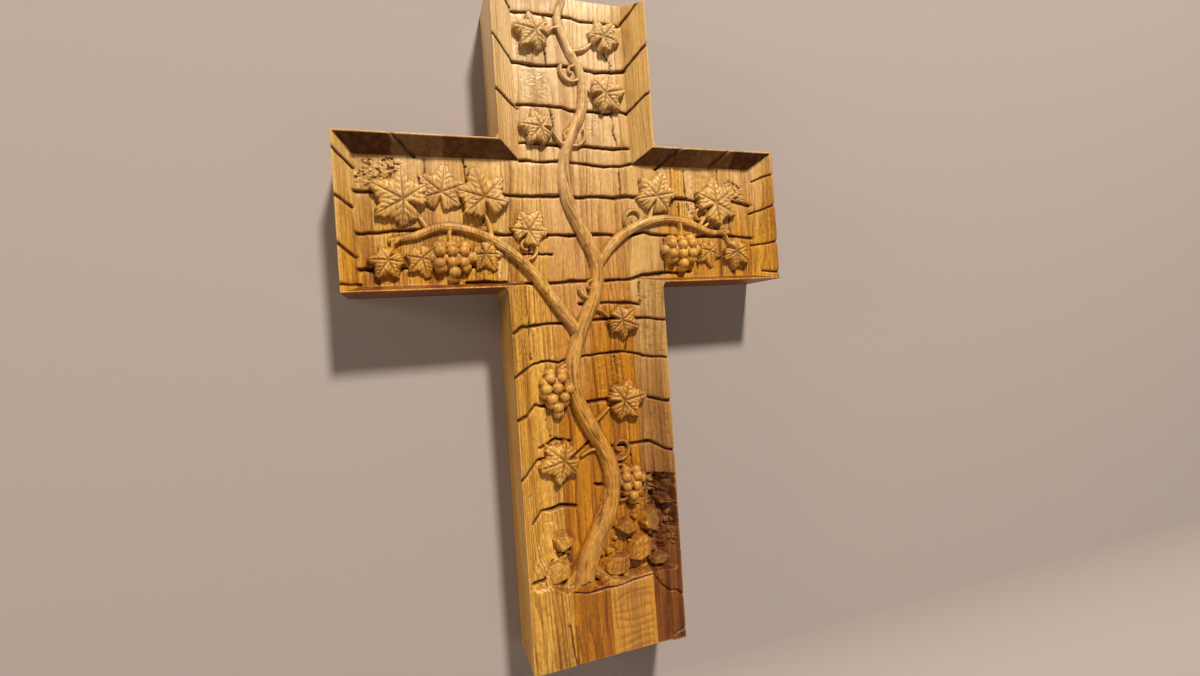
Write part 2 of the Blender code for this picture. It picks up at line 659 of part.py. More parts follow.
def make_screws(parts, hidden):
    zinc = principled("zinc_screw", (0.70, 0.66, 0.52), 0.30, 1.0)
    for name, x in screw_places().items():
        screw = turned_screw(f"{name}_blank", x, 0.0, hidden)
        slots = ((0.0022, DRIVER_SLOT_WIDTH / 2), (DRIVER_SLOT_WIDTH / 2, 0.0022))
        for turn, (across, along) in enumerate(slots):
            slot = box(f"{name}_slot_{turn}", (x - across, -DRIVER_SLOT_DEPTH, plate_height(-along)),
                       (x + across, OVERCUT, plate_height(along)), hidden)
            boolean(screw, "DIFFERENCE", slot)
        screw = baked(screw, name, parts, hidden=False)
        screw.data.materials.append(zinc)


def main():
    clear_scene()
    parts = new_collection("carved_wall_cross", False)
    hidden = new_collection("cutters", True)
    panel = carved_panel(hidden)
    make_staves(panel, parts)
    make_plate(parts, hidden)
    make_screws(parts, hidden)


main()
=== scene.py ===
"""A carved oak wall cross as it hangs: the glued-up staves with their carved front, and the hanger at
the back. Lengths are in millimetres on the carver's drawing, whose x counts from the upright's middle
line, z from the arms' top edge, and depth inwards from the front face."""
import math

import bmesh
import bpy
import numpy as np
from mathutils import Matrix, Vector


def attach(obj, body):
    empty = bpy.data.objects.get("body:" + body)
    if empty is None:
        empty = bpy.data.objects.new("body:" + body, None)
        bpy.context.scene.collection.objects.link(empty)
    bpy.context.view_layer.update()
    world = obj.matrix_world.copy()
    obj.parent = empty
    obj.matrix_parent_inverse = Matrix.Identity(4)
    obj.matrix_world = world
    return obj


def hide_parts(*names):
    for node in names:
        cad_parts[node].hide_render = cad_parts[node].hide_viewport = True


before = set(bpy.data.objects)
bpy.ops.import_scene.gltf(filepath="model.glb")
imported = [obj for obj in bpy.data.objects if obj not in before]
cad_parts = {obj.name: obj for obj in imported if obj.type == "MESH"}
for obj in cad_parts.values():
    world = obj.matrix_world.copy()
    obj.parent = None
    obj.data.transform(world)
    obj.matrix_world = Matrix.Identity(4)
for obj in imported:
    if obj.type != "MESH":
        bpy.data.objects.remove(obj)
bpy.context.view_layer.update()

# A millimetre in the frame's own metres.
MM = 0.001

# The panel.
HALF_WIDTH = 50.0
HALF_SPAN = 140.0
HEAD = 94.0
ARM_FOOT = -88.0
BOTTOM = -318.0
THICKNESS = 40.0
SHOULDER = 3.5
DRAWING_TO_HANG_POINT = 56.0
SIDE_DEPTH = 20.0
PITCH_ACROSS = 0.42
PITCH_ALONG = 0.33
EDGE_LINES = (0.12, 0.3, 0.6)
EDGE_WEAR = 0.55

# The tray.
FIELD = 10.0
RIM = 0.8
SIDE_RUN = 13.5
ARM_TOP_RUN = 10.0
ARM_FOOT_RUN = 4.0
LEFT_END_RUN = 10.0
RIGHT_END_RUN = 14.5
SILL_TOP = -274.0
SILL_WEAR = 2.0
RIPPLE_PITCH = 5.0
RIPPLE_DEPTH = 0.12
RIPPLES_TOP = -277.0
LEDGE_EDGE = -24.0
# How dark shade is painted under the arms' top edge, where the sloping walls face down away from the lamp,
# from the outer stave inwards, and how far from the middle line it changes.
TOP_WALL_SHADE = (0.95, 0.74, 0.87)
TOP_WALL_SHADE_STEPS = (110.0, 82.0)

# The hanger, in the frame's own millimetres from the hang point.
PLATE_LENGTH = 46.0
PLATE_HEIGHT = 22.0
PLATE_THICKNESS = 2.0
PLATE_MIDDLE = -5.0
HOLE_MIDDLE = -9.0
POCKET_WIDTH = 12.0
POCKET_DEPTH = 8.0
SCREW_OUT = 16.0
SCREW_HOLE_RADIUS = 1.9
SCREW_HOLE_DEPTH = 14.3
OVERCUT = 1.0
FIT = 0.3
PLATE_SOFTENING = 0.35
HOLE_RADIUS = 4.6
SLOT_WIDTH = 4.6
SCREW_HEAD = 3.4
SCREW_SHANK = 1.6
# The staves between these two lines of the drawing carry the hanger.
HANGER_SPAN = (-54.0, 31.0)

# The screws, in metres, as their node group takes them.
HEAD_SUNK = 0.00008
SCREW_TIP = 0.00012
SCREW_SOFTENING = 0.0001
RECESS_BAR = (0.0042, 0.00085, 0.0022)
THREAD_LEAN = (0.12, 0.0, 0.0)
SCREW_SIZES = (
    ("Head radius", "NodeSocketFloat", 0.0034), ("Shank radius", "NodeSocketFloat", 0.0016),
    ("Length", "NodeSocketFloat", 0.0139), ("Turns", "NodeSocketInt", 8), ("Turned", "NodeSocketFloat", 0.0),
    ("Place", "NodeSocketVector", (0.0, 0.0, 0.0)),
)

# Tones of the oak and of its marks, and of the zinc.
STRAW = (0.74, 0.535, 0.275)
GOLD = (0.61, 0.385, 0.13)
OCHRE = (0.67, 0.38, 0.072)
HONEY = (0.65, 0.335, 0.036)
AMBER = (0.50, 0.21, 0.009)
BROWN = (0.24, 0.078, 0.008)
RING_TONE = (0.42, 0.27, 0.12)
PORE_TONE = (0.15, 0.055, 0.012)
END_GRAIN_TONE = (0.44, 0.28, 0.17)
WHITE_ZINC = (0.60, 0.61, 0.60)
YELLOW_ZINC = (0.62, 0.52, 0.30)

# Each stave: name, left and right edge, tone of its upper and lower wood, the height on the drawing where
# one passes into the other, over what length, and which part of the tree it came from. The paler upper wood
# is partly the staves' own tone and partly painted sheen, where the lamp's light falls brightest near the
# top.
STAVES = (
    ("left_arm_outer_stave", -140.0, -108.5, GOLD, HONEY, -45.0, 60.0, 3.1),
    ("left_arm_middle_stave", -108.5, -81.0, STRAW, HONEY, -30.0, 90.0, 7.7),
    ("left_arm_inner_stave", -81.0, -54.0, GOLD, HONEY, -50.0, 60.0, 1.9),
    ("upright_left_stave", -54.0, -23.0, STRAW, OCHRE, -20.0, 160.0, 5.3),
    ("upright_core_left_stave", -23.0, 1.0, STRAW, AMBER, -50.0, 230.0, 9.2),
    ("upright_core_right_stave", 1.0, 30.5, STRAW, AMBER, -30.0, 200.0, 2.6),
    ("upright_right_stave", 30.5, 57.0, GOLD, BROWN, -150.0, 200.0, 6.4),
    ("right_arm_inner_stave", 57.0, 84.0, STRAW, HONEY, -20.0, 90.0, 4.5),
    ("right_arm_middle_stave", 84.0, 112.0, GOLD, HONEY, -45.0, 60.0, 8.8),
    ("right_arm_outer_stave", 112.0, 140.0, STRAW, HONEY, -10.0, 90.0, 0.7),
)


def noise(x, z, cell_across, cell_along, seed):
    """Smooth noise from -1 to 1, with its own cell size each way."""
    table = np.random.default_rng(seed).uniform(-1.0, 1.0, (128, 128))
    u = x / cell_across + 900.0
    v = z / cell_along + 900.0
    i = np.floor(u).astype(int)
    j = np.floor(v).astype(int)
    a = u - i
    b = v - j
    a = a * a * (3.0 - 2.0 * a)
    b = b * b * (3.0 - 2.0 * b)
    i0, i1, j0, j1 = i % 128, (i + 1) % 128, j % 128, (j + 1) % 128
    near = table[i0, j0] * (1.0 - a) + table[i1, j0] * a
    far = table[i0, j1] * (1.0 - a) + table[i1, j1] * a
    return near * (1.0 - b) + far * b


def ease(value):
    value = np.clip(value, 0.0, 1.0)
    return value * value * (3.0 - 2.0 * value)


def near_path(x, z, path, reach):
    """The spots within reach of a path: their indices, distance, way along it and side of it."""
    points = np.asarray(path, float)
    low = points.min(axis=0) - reach
    high = points.max(axis=0) + reach
    near = np.flatnonzero((x > low[0]) & (x < high[0]) & (z > low[1]) & (z < high[1]))
    px, pz = x[near], z[near]
    away = np.full(near.size, 1e9)
    along = np.zeros(near.size)
    side = np.zeros(near.size)
    done = 0.0
    for (x0, z0), (x1, z1) in zip(points, points[1:]):
        dx, dz = x1 - x0, z1 - z0
        length = math.hypot(dx, dz)
        share = np.clip(((px - x0) * dx + (pz - z0) * dz) / length ** 2, 0.0, 1.0)
        here = np.hypot(px - x0 - share * dx, pz - z0 - share * dz)
        closer = here < away
        away[closer] = here[closer]
        along[closer] = done + share[closer] * length
        side[closer] = np.sign((px - x0) * dz - (pz - z0) * dx)[closer]
        done += length
    keep = away < reach
    return near[keep], away[keep], along[keep], side[keep]


def smooth_path(points, steps=6):
    """A path through the points, rounded between them, with any further columns eased along too."""
    p = np.asarray(points, float)
    p = np.vstack([2 * p[0] - p[1], p, 2 * p[-1] - p[-2]])
    out = []
    for a, b, c, d in zip(p, p[1:], p[2:], p[3:]):
        for t in np.arange(steps) / steps:
            out.append(0.5 * (2 * b + (c - a) * t + (2 * a - 5 * b + 4 * c - d) * t ** 2
                              + (3 * b - a - 3 * c + d) * t ** 3))
    return np.vstack([out, p[-2]])


class Carving:
    """The front surface at a set of spots: depth in mm, dark oil marks and painted shade, and hand polish,
    from 0 to 1.
    """

    def __init__(self, x, z):
        self.x = x
        self.z = z
        self.depth = np.zeros_like(x)
        self.stain_and_shade = np.zeros_like(x)
        self.polish = np.zeros_like(x)
        self.bent_x = x + 0.50 * noise(x, z, 9.0, 9.0, 11) + 0.22 * noise(x, z, 2.6, 2.6, 12)
        self.bent_z = z + 0.75 * noise(x, z, 8.0, 8.0, 13) + 0.24 * noise(x, z, 2.6, 2.6, 14)

    def raise_to(self, near, height, edge, base=FIELD):
        """Leaves wood standing at the near spots, height above base. edge is how far inside the form's
        outline each spot is, negative outside, where a thin line is cut around the form and painted dark as
        its shadow."""
        standing = base - height
        higher = (edge > 0) & (standing < self.depth[near])
        at = near[higher]
        self.depth[at] = standing[higher]
        self.stain_and_shade[at] = 0.0
        self.polish[at] = np.clip(height[higher] / 8.0, 0.0, 1.0)
        line = np.clip(1.0 + edge / 0.9, 0.0, 1.0) * (edge <= 0) * (standing < self.depth[near] + 1.0)
        self.depth[near] += 0.3 * line
        # Painted shadow: the cut line round the form is darkened as the form's shade.
        self.stain_and_shade[near] = np.maximum(self.stain_and_shade[near], 0.5 * line)


def outer_distance(x, z):
    """How far inside the panel's outline a spot is."""
    upright = np.minimum(HALF_WIDTH - np.abs(x), np.minimum(HEAD - z, z - BOTTOM))
    arms = np.minimum(HALF_SPAN - np.abs(x), np.minimum(-z, z - ARM_FOOT))
    inside = np.maximum(upright, arms)
    for middle, level in ((SHOULDER, 1.0), (ARM_FOOT - SHOULDER, -1.0)):
        out = np.abs(x) - HALF_WIDTH
        corner = (out > 0) & (out < SHOULDER) & (level * (middle - z) > 0) & (np.abs(middle - z) < SHOULDER)
        to_arc = np.hypot(out - SHOULDER, z - middle) - SHOULDER
        inside = np.where(corner, np.maximum(inside, to_arc), inside)
    return inside


def sink_tray(carving):
    """The tray that is sunk into the cross, with sloping walls that wander a little, and painted shade on
    the walls under the arms' top edge.
    """
    x, z = carving.x, carving.z
    wander = 0.7 * noise(x, z, 40.0, 16.0, 21)
    left = (x + HALF_WIDTH - RIM) * FIELD / (SIDE_RUN - RIM + wander)
    right = (HALF_WIDTH - RIM - x) * FIELD / (SIDE_RUN - RIM - wander)
    upright = np.minimum(left, right)
    ends = np.minimum((x + HALF_SPAN - RIM) * FIELD / (LEFT_END_RUN - RIM + 0.4 * wander),
                      (HALF_SPAN - RIM - x) * FIELD / (RIGHT_END_RUN - RIM - 0.4 * wander))
    top_wall = (-RIM - z) * FIELD / (ARM_TOP_RUN - RIM)
    arms = np.minimum(ends, np.minimum(top_wall, (z - ARM_FOOT - RIM) * FIELD / (ARM_FOOT_RUN - RIM)))
    under_edge = (top_wall <= ends) & (top_wall > upright) & (top_wall > 0.25) & (top_wall < FIELD - 0.1)
    # Painted shade: the walls under the arms' top edge face down, away from the lamp, and are darkened as
    # their shade.
    painted_shade = np.select([np.abs(x) > step for step in TOP_WALL_SHADE_STEPS], TOP_WALL_SHADE[:2], TOP_WALL_SHADE[2])
    carving.stain_and_shade = np.where(under_edge, painted_shade, 0.0)
    depth = np.clip(np.maximum(upright, arms), 0.0, FIELD)
    flat = ease(depth / FIELD)
    depth += flat * (0.45 * noise(x, z, 21.0, 17.0, 22) + 0.16 * noise(x, z, 5.0, 9.0, 23))
    depth += 0.05 * ease(depth) * noise(x, z, 1.1, 3.5, 24)
    carving.depth = depth


def leave_sill(carving):
    """The rock sill at the foot: flush at the left, worn deeper and rippled in the middle, with a broken
    upper edge."""
    x, z = carving.x, carving.z
    ragged = 1.2 * noise(x, z, 6.0, 30.0, 31) + 0.8 * noise(x, z, 1.8, 9.0, 32)
    worn = ease((x + 26.0 + 0.9 * noise(x, z, 5.0, 9.0, 33)) / 3.0) * ease((41.5 - x) / 1.6)
    surface = 0.3 + SILL_WEAR * worn * (0.55 + 0.45 * ease((z + 312.0) / 30.0))
    surface += 0.35 * noise(x + 0.35 * z, z, 16.0, 9.0, 34) * (0.3 + worn)
    bow = z - 0.10 * x + 2.8 * noise(x, z, 19.0, 13.0, 35) + 0.3 * noise(x, z, 5.0, 4.0, 39)
    ripple = np.sin(bow * math.tau / RIPPLE_PITCH) * ease((x + 1.0) / 9.0) * ease((29.5 - x) / 2.0)
    ripple *= ease(0.95 + 1.0 * noise(x, z, 19.0, 8.0, 38))
    surface += RIPPLE_DEPTH * ripple * ease((RIPPLES_TOP - z) / 5.0)
    surface += 0.09 * noise(x, z, 3.2, 2.4, 36)
    surface = np.clip(surface, 0.0, FIELD)
    top = SILL_TOP + ragged + 4.0 * ease((LEDGE_EDGE - x) / 10.0)
    share = ease((z - top) / 3.0)
    depth = surface * (1.0 - share) + np.maximum(carving.depth, surface) * share
    at_sill = z < top + 3.0
    carving.depth = np.where(at_sill, np.minimum(depth, np.maximum(carving.depth, surface)), carving.depth)
    valley = 0.25 * ease((ripple - 0.1) / 0.9) * ease((RIPPLES_TOP - z) / 5.0)
    weathered = ease((LEDGE_EDGE - x) / 2.0) * (0.13 + 0.10 * noise(x, z, 13.0, 18.0, 41))
    carving.stain_and_shade = carving.stain_and_shade * share + (valley + weathered) * (1.0 - share)
    rubbed = 0.65 * worn * ease((x - 0.5) / 1.0) * ease((30.8 - x) / 0.8)
    carving.polish = carving.polish * share + rubbed * (1.0 - share)
    for seed, path in enumerate(SILL_CRACKS):
        cut_joint(carving, path, *SILL_CUT, seed + 40)


def leave_left_ledge(carving):
    """Living rock that swells out of the wall at the lower left."""
    x, z = carving.x, carving.z
    swell = ease((-228.0 - z + 3.0 * noise(x, z, 7.0, 7.0, 36)) / 40.0) * ease((LEDGE_EDGE - x) / 15.0)
    rock = FIELD - 8.6 * swell + 0.6 * noise(x, z, 8.0, 6.0, 37) + 0.35 * noise(x, z, 3.0, 3.0, 38)
    carving.depth = np.where(swell > 0.01, np.minimum(carving.depth, np.maximum(rock, 0.3)), carving.depth)


def cut_joint(carving, path, width, deep, seed, broken=0.0):
    """One V-cut between two stones. It waves and thins as a hand-led cutter does, its shoulders are rolled,
    and only its bottom holds dark oil. A broken cut fades out here and there."""
    x, z = carving.bent_x, carving.bent_z
    near, away, along, _ = near_path(x, z, path, 4.5)
    if not near.size:
        return
    swing = noise(carving.x[near], carving.z[near], 9.0, 9.0, 41 + seed)
    pressed = 1.0 - broken * ease(0.5 - 1.5 * noise(along, along * 0, 4.5, 1.0, 141 + seed))
    half = 0.5 * width * (1.0 + 0.25 * swing) * (0.55 + 0.45 * pressed)
    cut = np.clip(1.0 - away / half, 0.0, 1.0)
    carving.depth[near] += deep * (1.0 + 0.2 * swing) * pressed * cut ** 0.85
    carving.depth[near] += 0.34 * pressed * np.exp(-(away / 1.7) ** 2)
    oiled = pressed * ease((cut - 0.25) / 0.45)
    carving.stain_and_shade[near] = np.maximum(carving.stain_and_shade[near], 0.95 * oiled)


# Width and depth of each kind of cut, how much wider some of the courses' cuts are, and how broken the
# upright ones are.
BED_CUT = (2.2, 2.0)
BED_WIDENING = 0.25
SILL_CUT = (1.7, 1.2)
HEAD_CUT = (1.5, 1.1)
HEAD_BROKEN = 0.45
WALL_CUT = (2.3, 1.6)
# The masonry's cuts, as paths on the drawing: the courses from the top down, the cracks of the sill, the
# short upright joints, and the cuts that carry the courses up the tray's sloping walls.
BED_JOINTS = (
    ((-36, 82), (-5, 82), (10, 81), (35, 81)),
    ((-37, 50.5), (-5, 50.5), (6, 50), (17, 48.5), (24, 49.5), (37, 52)),
    ((-36, 24), (-16, 24.3), (-5, 24), (8, 23.5), (24, 22.3), (28, 25), (36, 24)),
    ((-36, 1), (-6, 1.3), (6, 0.8), (26, 0), (36, 0.8)),
    ((-37, -10), (-9, -9.6), (6, -10.5), (25, -11.2), (37, -9)),
    ((-131, -31), (-117, -31.4), (-105, -31), (-80, -31.8), (-40, -31), (6, -31.5), (28, -31),
     (54, -32), (76, -31.6), (83, -33), (102, -30.6), (113, -33), (126, -35)),
    ((-131, -54), (-100, -52.4), (-70, -54), (-20, -56), (31, -55.5), (43, -53.4), (55, -56.4),
     (68, -57), (106, -56.3), (126, -57.6)),
    ((-131, -74.5), (-110, -74.2), (-84, -75.5), (-60, -73.5)),
    ((-41, -67), (-20, -67.2)),
    ((-73, -84), (-50, -84), (-46, -85.6), (-40, -85.3), (-18, -85.6), (-3, -85), (28, -84.6),
     (44, -82), (58, -80.4), (76, -81)),
    ((-4, -99), (30, -99.6), (36, -101)),
    ((-49, -116), (-42, -111), (-16, -111), (-1, -109.5), (28, -109.6), (53, -112)),
    ((-50, -141.5), (-38, -135), (-27, -133), (-20, -135), (-10, -132.4), (9, -132), (23, -131),
     (53, -138)),
    ((-50, -166.5), (-43, -165), (-37, -160), (-20, -160), (-3, -161), (17, -160), (35, -161),
     (45, -164), (53, -164.6)),
    ((-36, -186), (-26, -182), (-16, -184.5)),
    ((-50, -202), (-38, -193.5), (-26, -192), (-17, -196), (-4, -186), (8, -190.5), (28, -190.5),
     (38, -191), (46, -196), (53, -197.5)),
    ((-2, -213), (8, -215), (36, -212.4)),
    ((-44, -230), (-38, -224.5), (-24, -223.5), (-15, -225.5)),
    ((-47, -264.5), (-40, -264), (-37, -261), (-33, -255)),
)
SILL_CRACKS = (
    ((40, -286), (46, -287), (51, -292)),
    ((42, -314), (50, -311.5)),
    ((-27, -293), (-25, -306), (-23, -320)),
    ((-22, -275), (-12, -277.5), (-3, -276.5), (6, -277), (18, -275.5), (30, -274)),
    ((31, -268), (32, -276), (36, -282), (40, -286)),
)
HEAD_JOINTS = (
    ((-15.5, 81), (-15.8, 66), (-15.2, 51)), ((26, 80), (26.4, 62)), ((22, 64), (26.5, 57), (26.6, 50)),
    ((-15.5, 23), (-13.5, 12), (-14, 2)), ((26, 21), (27, 15), (26, 11), (28.5, 2)),
    ((28.5, -12), (28.5, -30)), ((55, -12), (56, -31)), ((75, -12), (76.6, -31)),
    ((101, -12), (103, -30)), ((70, -34), (69.6, -45), (70, -56)), ((108, -34), (108.6, -44), (108, -55)),
    ((57, -59), (56.6, -70), (57, -79)), ((79.5, -58), (81, -70), (82, -79)),
    ((-92.5, -11), (-93, -22), (-92.5, -30)), ((-112, -55), (-112.5, -68)), ((-34, -58), (-34, -66)),
    ((37, -86), (36.6, -99)), ((-38, -88), (-38.6, -100), (-38, -110)),
    ((-38, -112), (-38.4, -124), (-38, -132)), ((26, -111), (26.4, -121), (25, -130)),
    ((16, -134), (18, -146), (16.5, -158)), ((22, -192), (24, -200), (25, -211)),
    ((-30, -162), (-30.5, -174), (-29, -181)), ((-61, -33), (-60.4, -44), (-61, -53)),
    ((-70, -10), (-69.5, -31)),
)
WALL_JOINTS = (
    ((-50, 62.5), (-37, 51)), ((-50, 29), (-36, 22)), ((-45, 93), (-37, 84)), ((36, 82), (48, 95)),
    ((36, 52), (53, 69)), ((36, 24), (53, 37)), ((-142, -8), (-131, -18)), ((-142, -34), (-132, -40)),
    ((-142, -60), (-132, -68)), ((-142, -83.5), (-130, -83)), ((128, -18.5), (145, -14)),
    ((126, -41), (145, -34.5)), ((125, -63.5), (145, -61)), ((131, -82), (145, -84)),
    ((54, -12), (72, 2)), ((95, -9), (108, 2)), ((-97, -10), (-112, 2)),
)

# Stones with a tooled face: middle, half width and height, grain of the marks and their depth.
TOOLED_STONES = (
    (89, -44.5, 17, 10.5, 2.0, 0.22), (68, -69, 11, 9.5, 1.2, 0.20), (-24, 37, 9, 11, 1.3, 0.09),
    (-27, 66, 8, 12, 1.2, 0.08), (9, 12, 8, 9, 1.3, 0.09), (44, -90, 9, 12, 1.8, 0.16),
    (12, -146, 10, 12, 1.5, 0.20), (45, -124, 8, 10, 1.9, 0.15), (-44, -128, 7, 12, 1.7, 0.14),
    (12, -200, 10, 9, 1.4, 0.17), (44, -180, 8, 14, 2.1, 0.16), (-42, -215, 8, 11, 1.6, 0.14),
    (136, -50, 7, 9, 1.5, 0.15), (-60, -82, 9, 5, 1.8, 0.14), (90, -20, 12, 9, 3.0, 0.18),
)


def lay_stones(carving):
    """The masonry: deep cuts between the courses, thinner broken ones between the stones of a course, and
    the marks of different tools on the stones' faces."""
    for number, (x0, z0, half_width, half_height, grit, deep) in enumerate(TOOLED_STONES):
        dress_stone(carving, (x0, z0), (half_width, half_height), grit, deep, number)
    for seed, path in enumerate(BED_JOINTS):
        cut_joint(carving, path, BED_CUT[0] + BED_WIDENING * (seed * 7 % 4), BED_CUT[1], seed)
    for seed, path in enumerate(HEAD_JOINTS):
        cut_joint(carving, path, *HEAD_CUT, seed + 3, HEAD_BROKEN)
        speckle(carving, path, seed)
    for seed, path in enumerate(WALL_JOINTS):
        cut_joint(carving, path, *WALL_CUT, seed + 7)


def dress_stone(carving, centre, half_sizes, grit, deep, seed):
    """The pebbled face that a small gouge leaves on one stone."""
    x, z = carving.bent_x, carving.bent_z
    border = 1.0 - np.maximum(np.abs(x - centre[0]) / half_sizes[0], np.abs(z - centre[1]) / half_sizes[1])
    near = np.flatnonzero(border > 0.0)
    pebbles = noise(x[near], z[near], grit, grit * 0.8, 150 + seed)
    pebbles += 0.5 * noise(x[near], z[near], grit * 0.45, grit * 0.4, 170 + seed)
    share = ease(border[near] / 0.15)
    carving.depth[near] += deep * share * pebbles
    carving.stain_and_shade[near] = np.maximum(carving.stain_and_shade[near], 0.35 * share * ease(pebbles * 1.4 - 0.55))


def speckle(carving, path, seed):
    """Pinholes that the cutter left beside a joint."""
    rng = np.random.default_rng(300 + seed)
    points = smooth_path(path, 4)
    for _ in range(4):
        x0, z0 = points[rng.integers(len(points))] + rng.normal(0.0, 0.5, 2)
        chip(carving, x0, z0, rng.uniform(0.5, 1.1), rng.uniform(0.5, 1.0))


def chip(carving, x0, z0, radius, deep):
    """A small cone-shaped pit with oil in it."""
    near = np.flatnonzero((np.abs(carving.x - x0) < radius) & (np.abs(carving.z - z0) < radius))
    hollow = np.clip(1.0 - np.hypot(carving.x[near] - x0, carving.z[near] - z0) / radius, 0.0, 1.0)
    carving.depth[near] += deep * hollow
    carving.stain_and_shade[near] = np.maximum(carving.stain_and_shade[near], 0.8 * ease(1.8 * hollow))


def roughen(carving, centre, half_sizes, deep, seed):
    """A patch of hacked stone: pits of all shapes with crumbs between, thinning out at its border."""
    x, z = carving.bent_x, carving.bent_z
    border = 1.0 - np.maximum(np.abs(x - centre[0]) / half_sizes[0], np.abs(z - centre[1]) / half_sizes[1])
    near = np.flatnonzero(border > -0.25)
    border = border[near] + 0.25 * noise(x[near], z[near], 4.0, 4.0, 50 + seed)
    turned, level = x[near] + 0.6 * z[near], z[near] - 0.35 * x[near]
    pits = noise(turned, level, 2.3, 1.6, 60 + seed) + 0.6 * noise(level, turned, 1.1, 1.0, 70 + seed)
    share = ease(border / 0.25)
    crumbs = 0.35 * noise(turned, level, 1.4, 1.2, 80 + seed)
    pits = ease((pits - 0.10) / 0.45) * share
    carving.depth[near] += deep * (pits + crumbs * share)
    carving.stain_and_shade[near] = np.maximum(carving.stain_and_shade[near], 0.75 * ease(pits * 1.4 - 0.35))


# Hacked patches: middle, half width and height, and depth of the pits.
HACKED_IN_ARMS = (
    ((-116.0, -20.0), (15.0, 10.0), 0.9), ((114.0, -25.0), (10.0, 8.0), 0.8),
    ((90.0, -44.0), (15.0, 10.0), 0.25),
)
HACKED_BY_BREACH = (((29.0, -224.0), (12.0, 12.0), 1.0), ((42.0, -252.0), (8.0, 8.0), 0.7))
# The stones that are broken out of the wall: middle, half width and half height.
BROKEN_OUT = (
    (43.5, -221.0, 6.0, 9.0), (45.0, -239.0, 4.6, 8.0), (38.0, -229.0, 3.6, 6.5),
    (34.5, -241.0, 3.0, 4.0),
)


def break_wall(carving):
    """The broken-out stones of the right wall low down, with a ragged hollow behind them, painted dark as
    shade.
    """
    x, z = carving.x, carving.z
    ragged = 1.3 * noise(x, z, 4.0, 3.2, 81) + 0.5 * noise(x, z, 1.3, 1.3, 82)
    hollow = np.zeros_like(x)
    for x0, z0, half_width, half_height in BROKEN_OUT:
        inside = np.minimum(half_width - np.abs(x - x0), half_height - np.abs(z - z0)) + ragged
        hollow = np.maximum(hollow, ease(inside / 1.5))
    layers = np.floor((z + 0.5 * x + 1.5 * noise(x, z, 3.0, 3.0, 84)) / 2.7)
    flakes = 1.5 * (np.sin(layers * 12.9898) * 43.758 % 1.0) + 0.8 * noise(x, z, 2.6, 2.2, 83)
    carving.depth += hollow * (3.6 + flakes)
    # Painted shade: the hollow is darkened as shade would darken it.
    carving.stain_and_shade = np.maximum(carving.stain_and_shade, hollow * (0.50 + 0.25 * noise(x, z, 3.4, 1.4, 85)))
    for seed, patch in enumerate(HACKED_BY_BREACH, 5):
        roughen(carving, *patch, seed)


# The vine's wood, as x, z and radius along each stem.
TRUNK = (
    (-15, -280, 8.4), (-14, -272, 7.6), (-11, -260, 6.8), (-1, -242, 6.3), (8, -221, 5.8), (8, -200, 5.4),
    (-2, -178, 5.2), (-11, -157, 5.0), (-12, -136, 4.8), (-4, -114, 4.7), (6, -94, 4.5), (8, -72, 4.3),
    (0, -52, 4.1), (-8, -33, 3.9), (-9, -12, 3.7), (-2, 8, 3.4), (6, 26, 3.2), (6, 46, 3.0),
    (-2, 63, 2.8), (-7, 79, 2.5), (-3, 92, 2.1),
)
LEFT_SHOOT = (
    (-6, -118, 4.0), (-19, -99, 3.7), (-32, -80, 3.4), (-48, -64, 3.2), (-66, -54, 3.0), (-84, -51, 2.8),
    (-100, -56, 2.5), (-113, -59, 2.0),
)
RIGHT_SHOOT = (
    (8, -76, 3.8), (22, -60, 3.4), (40, -49, 3.2), (58, -45, 3.0), (76, -48, 2.7), (92, -54, 2.4),
    (106, -54, 2.0),
)
ROOTS = (
    ((-14, -262, 5.0), (-21, -269, 4.2), (-27, -275, 3.4), (-32, -283, 2.6)),
    ((-10, -262, 5.0), (-3, -269, 4.0), (4, -273, 3.0), (10, -280, 2.4)),
)
STALKS = (
    ((-56, -59), (-58, -48), (-62, -40)), ((-92, -53), (-96, -47), (-99, -43)),
    ((-80, -51), (-81, -56), (-80, -61)), ((44, -48), (48, -43), (50, -36)),
    ((84, -50), (88, -45), (91, -42)), ((68, -46), (70, -52), (69, -58)), ((6, 36), (10, 36), (14, 34)),
    ((-7, 74), (-11, 73), (-14, 70)), ((-6, 0), (-11, 3), (-14, 8)), ((3, -102), (9, -104), (14, -108)),
    ((-12, -140), (-17, -137), (-21, -139)), ((-3, -176), (4, -171), (10, -166)),
    ((5, -192), (-3, -191), (-10, -194)), ((8, -208), (14, -203), (20, -205)),
    ((2, 60), (9, 62), (14, 66)), ((-108, -58), (-112, -61), (-113, -66)),
    ((100, -54), (104, -57), (106, -62)),
)
# The length in mm of a leaf's middle lobe at size 1. Each leaf: middle, size, the way its tip points in
# degrees, and how high it stands.
LEAF_REACH = 20.0
LEAVES = (
    (-84, -31, 0.86, 80, 0.6), (-34, -53, 0.74, 55, 0.6), (-97, -69, 0.62, 285, 0.6),
    (-61, -67, 0.60, 300, 0.6), (90, -67, 0.58, 280, 0.6), (-60, -34, 0.98, 105, 1.0),
    (-105, -36, 1.00, 150, 1.0), (-115, -70, 0.62, 235, 1.0), (52, -31, 0.88, 70, 1.0),
    (96, -35, 1.00, 35, 1.0), (110, -68, 0.68, -35, 1.0), (21, 34, 0.75, 15, 1.0),
    (-22, 69, 0.73, 165, 1.0), (-23, 10, 0.68, 170, 1.0), (22, -111, 0.68, -20, 1.0),
    (20, -162, 0.83, 10, 1.0), (-22, -195, 0.83, 195, 1.0), (22, 70, 0.65, 50, 1.0),
)
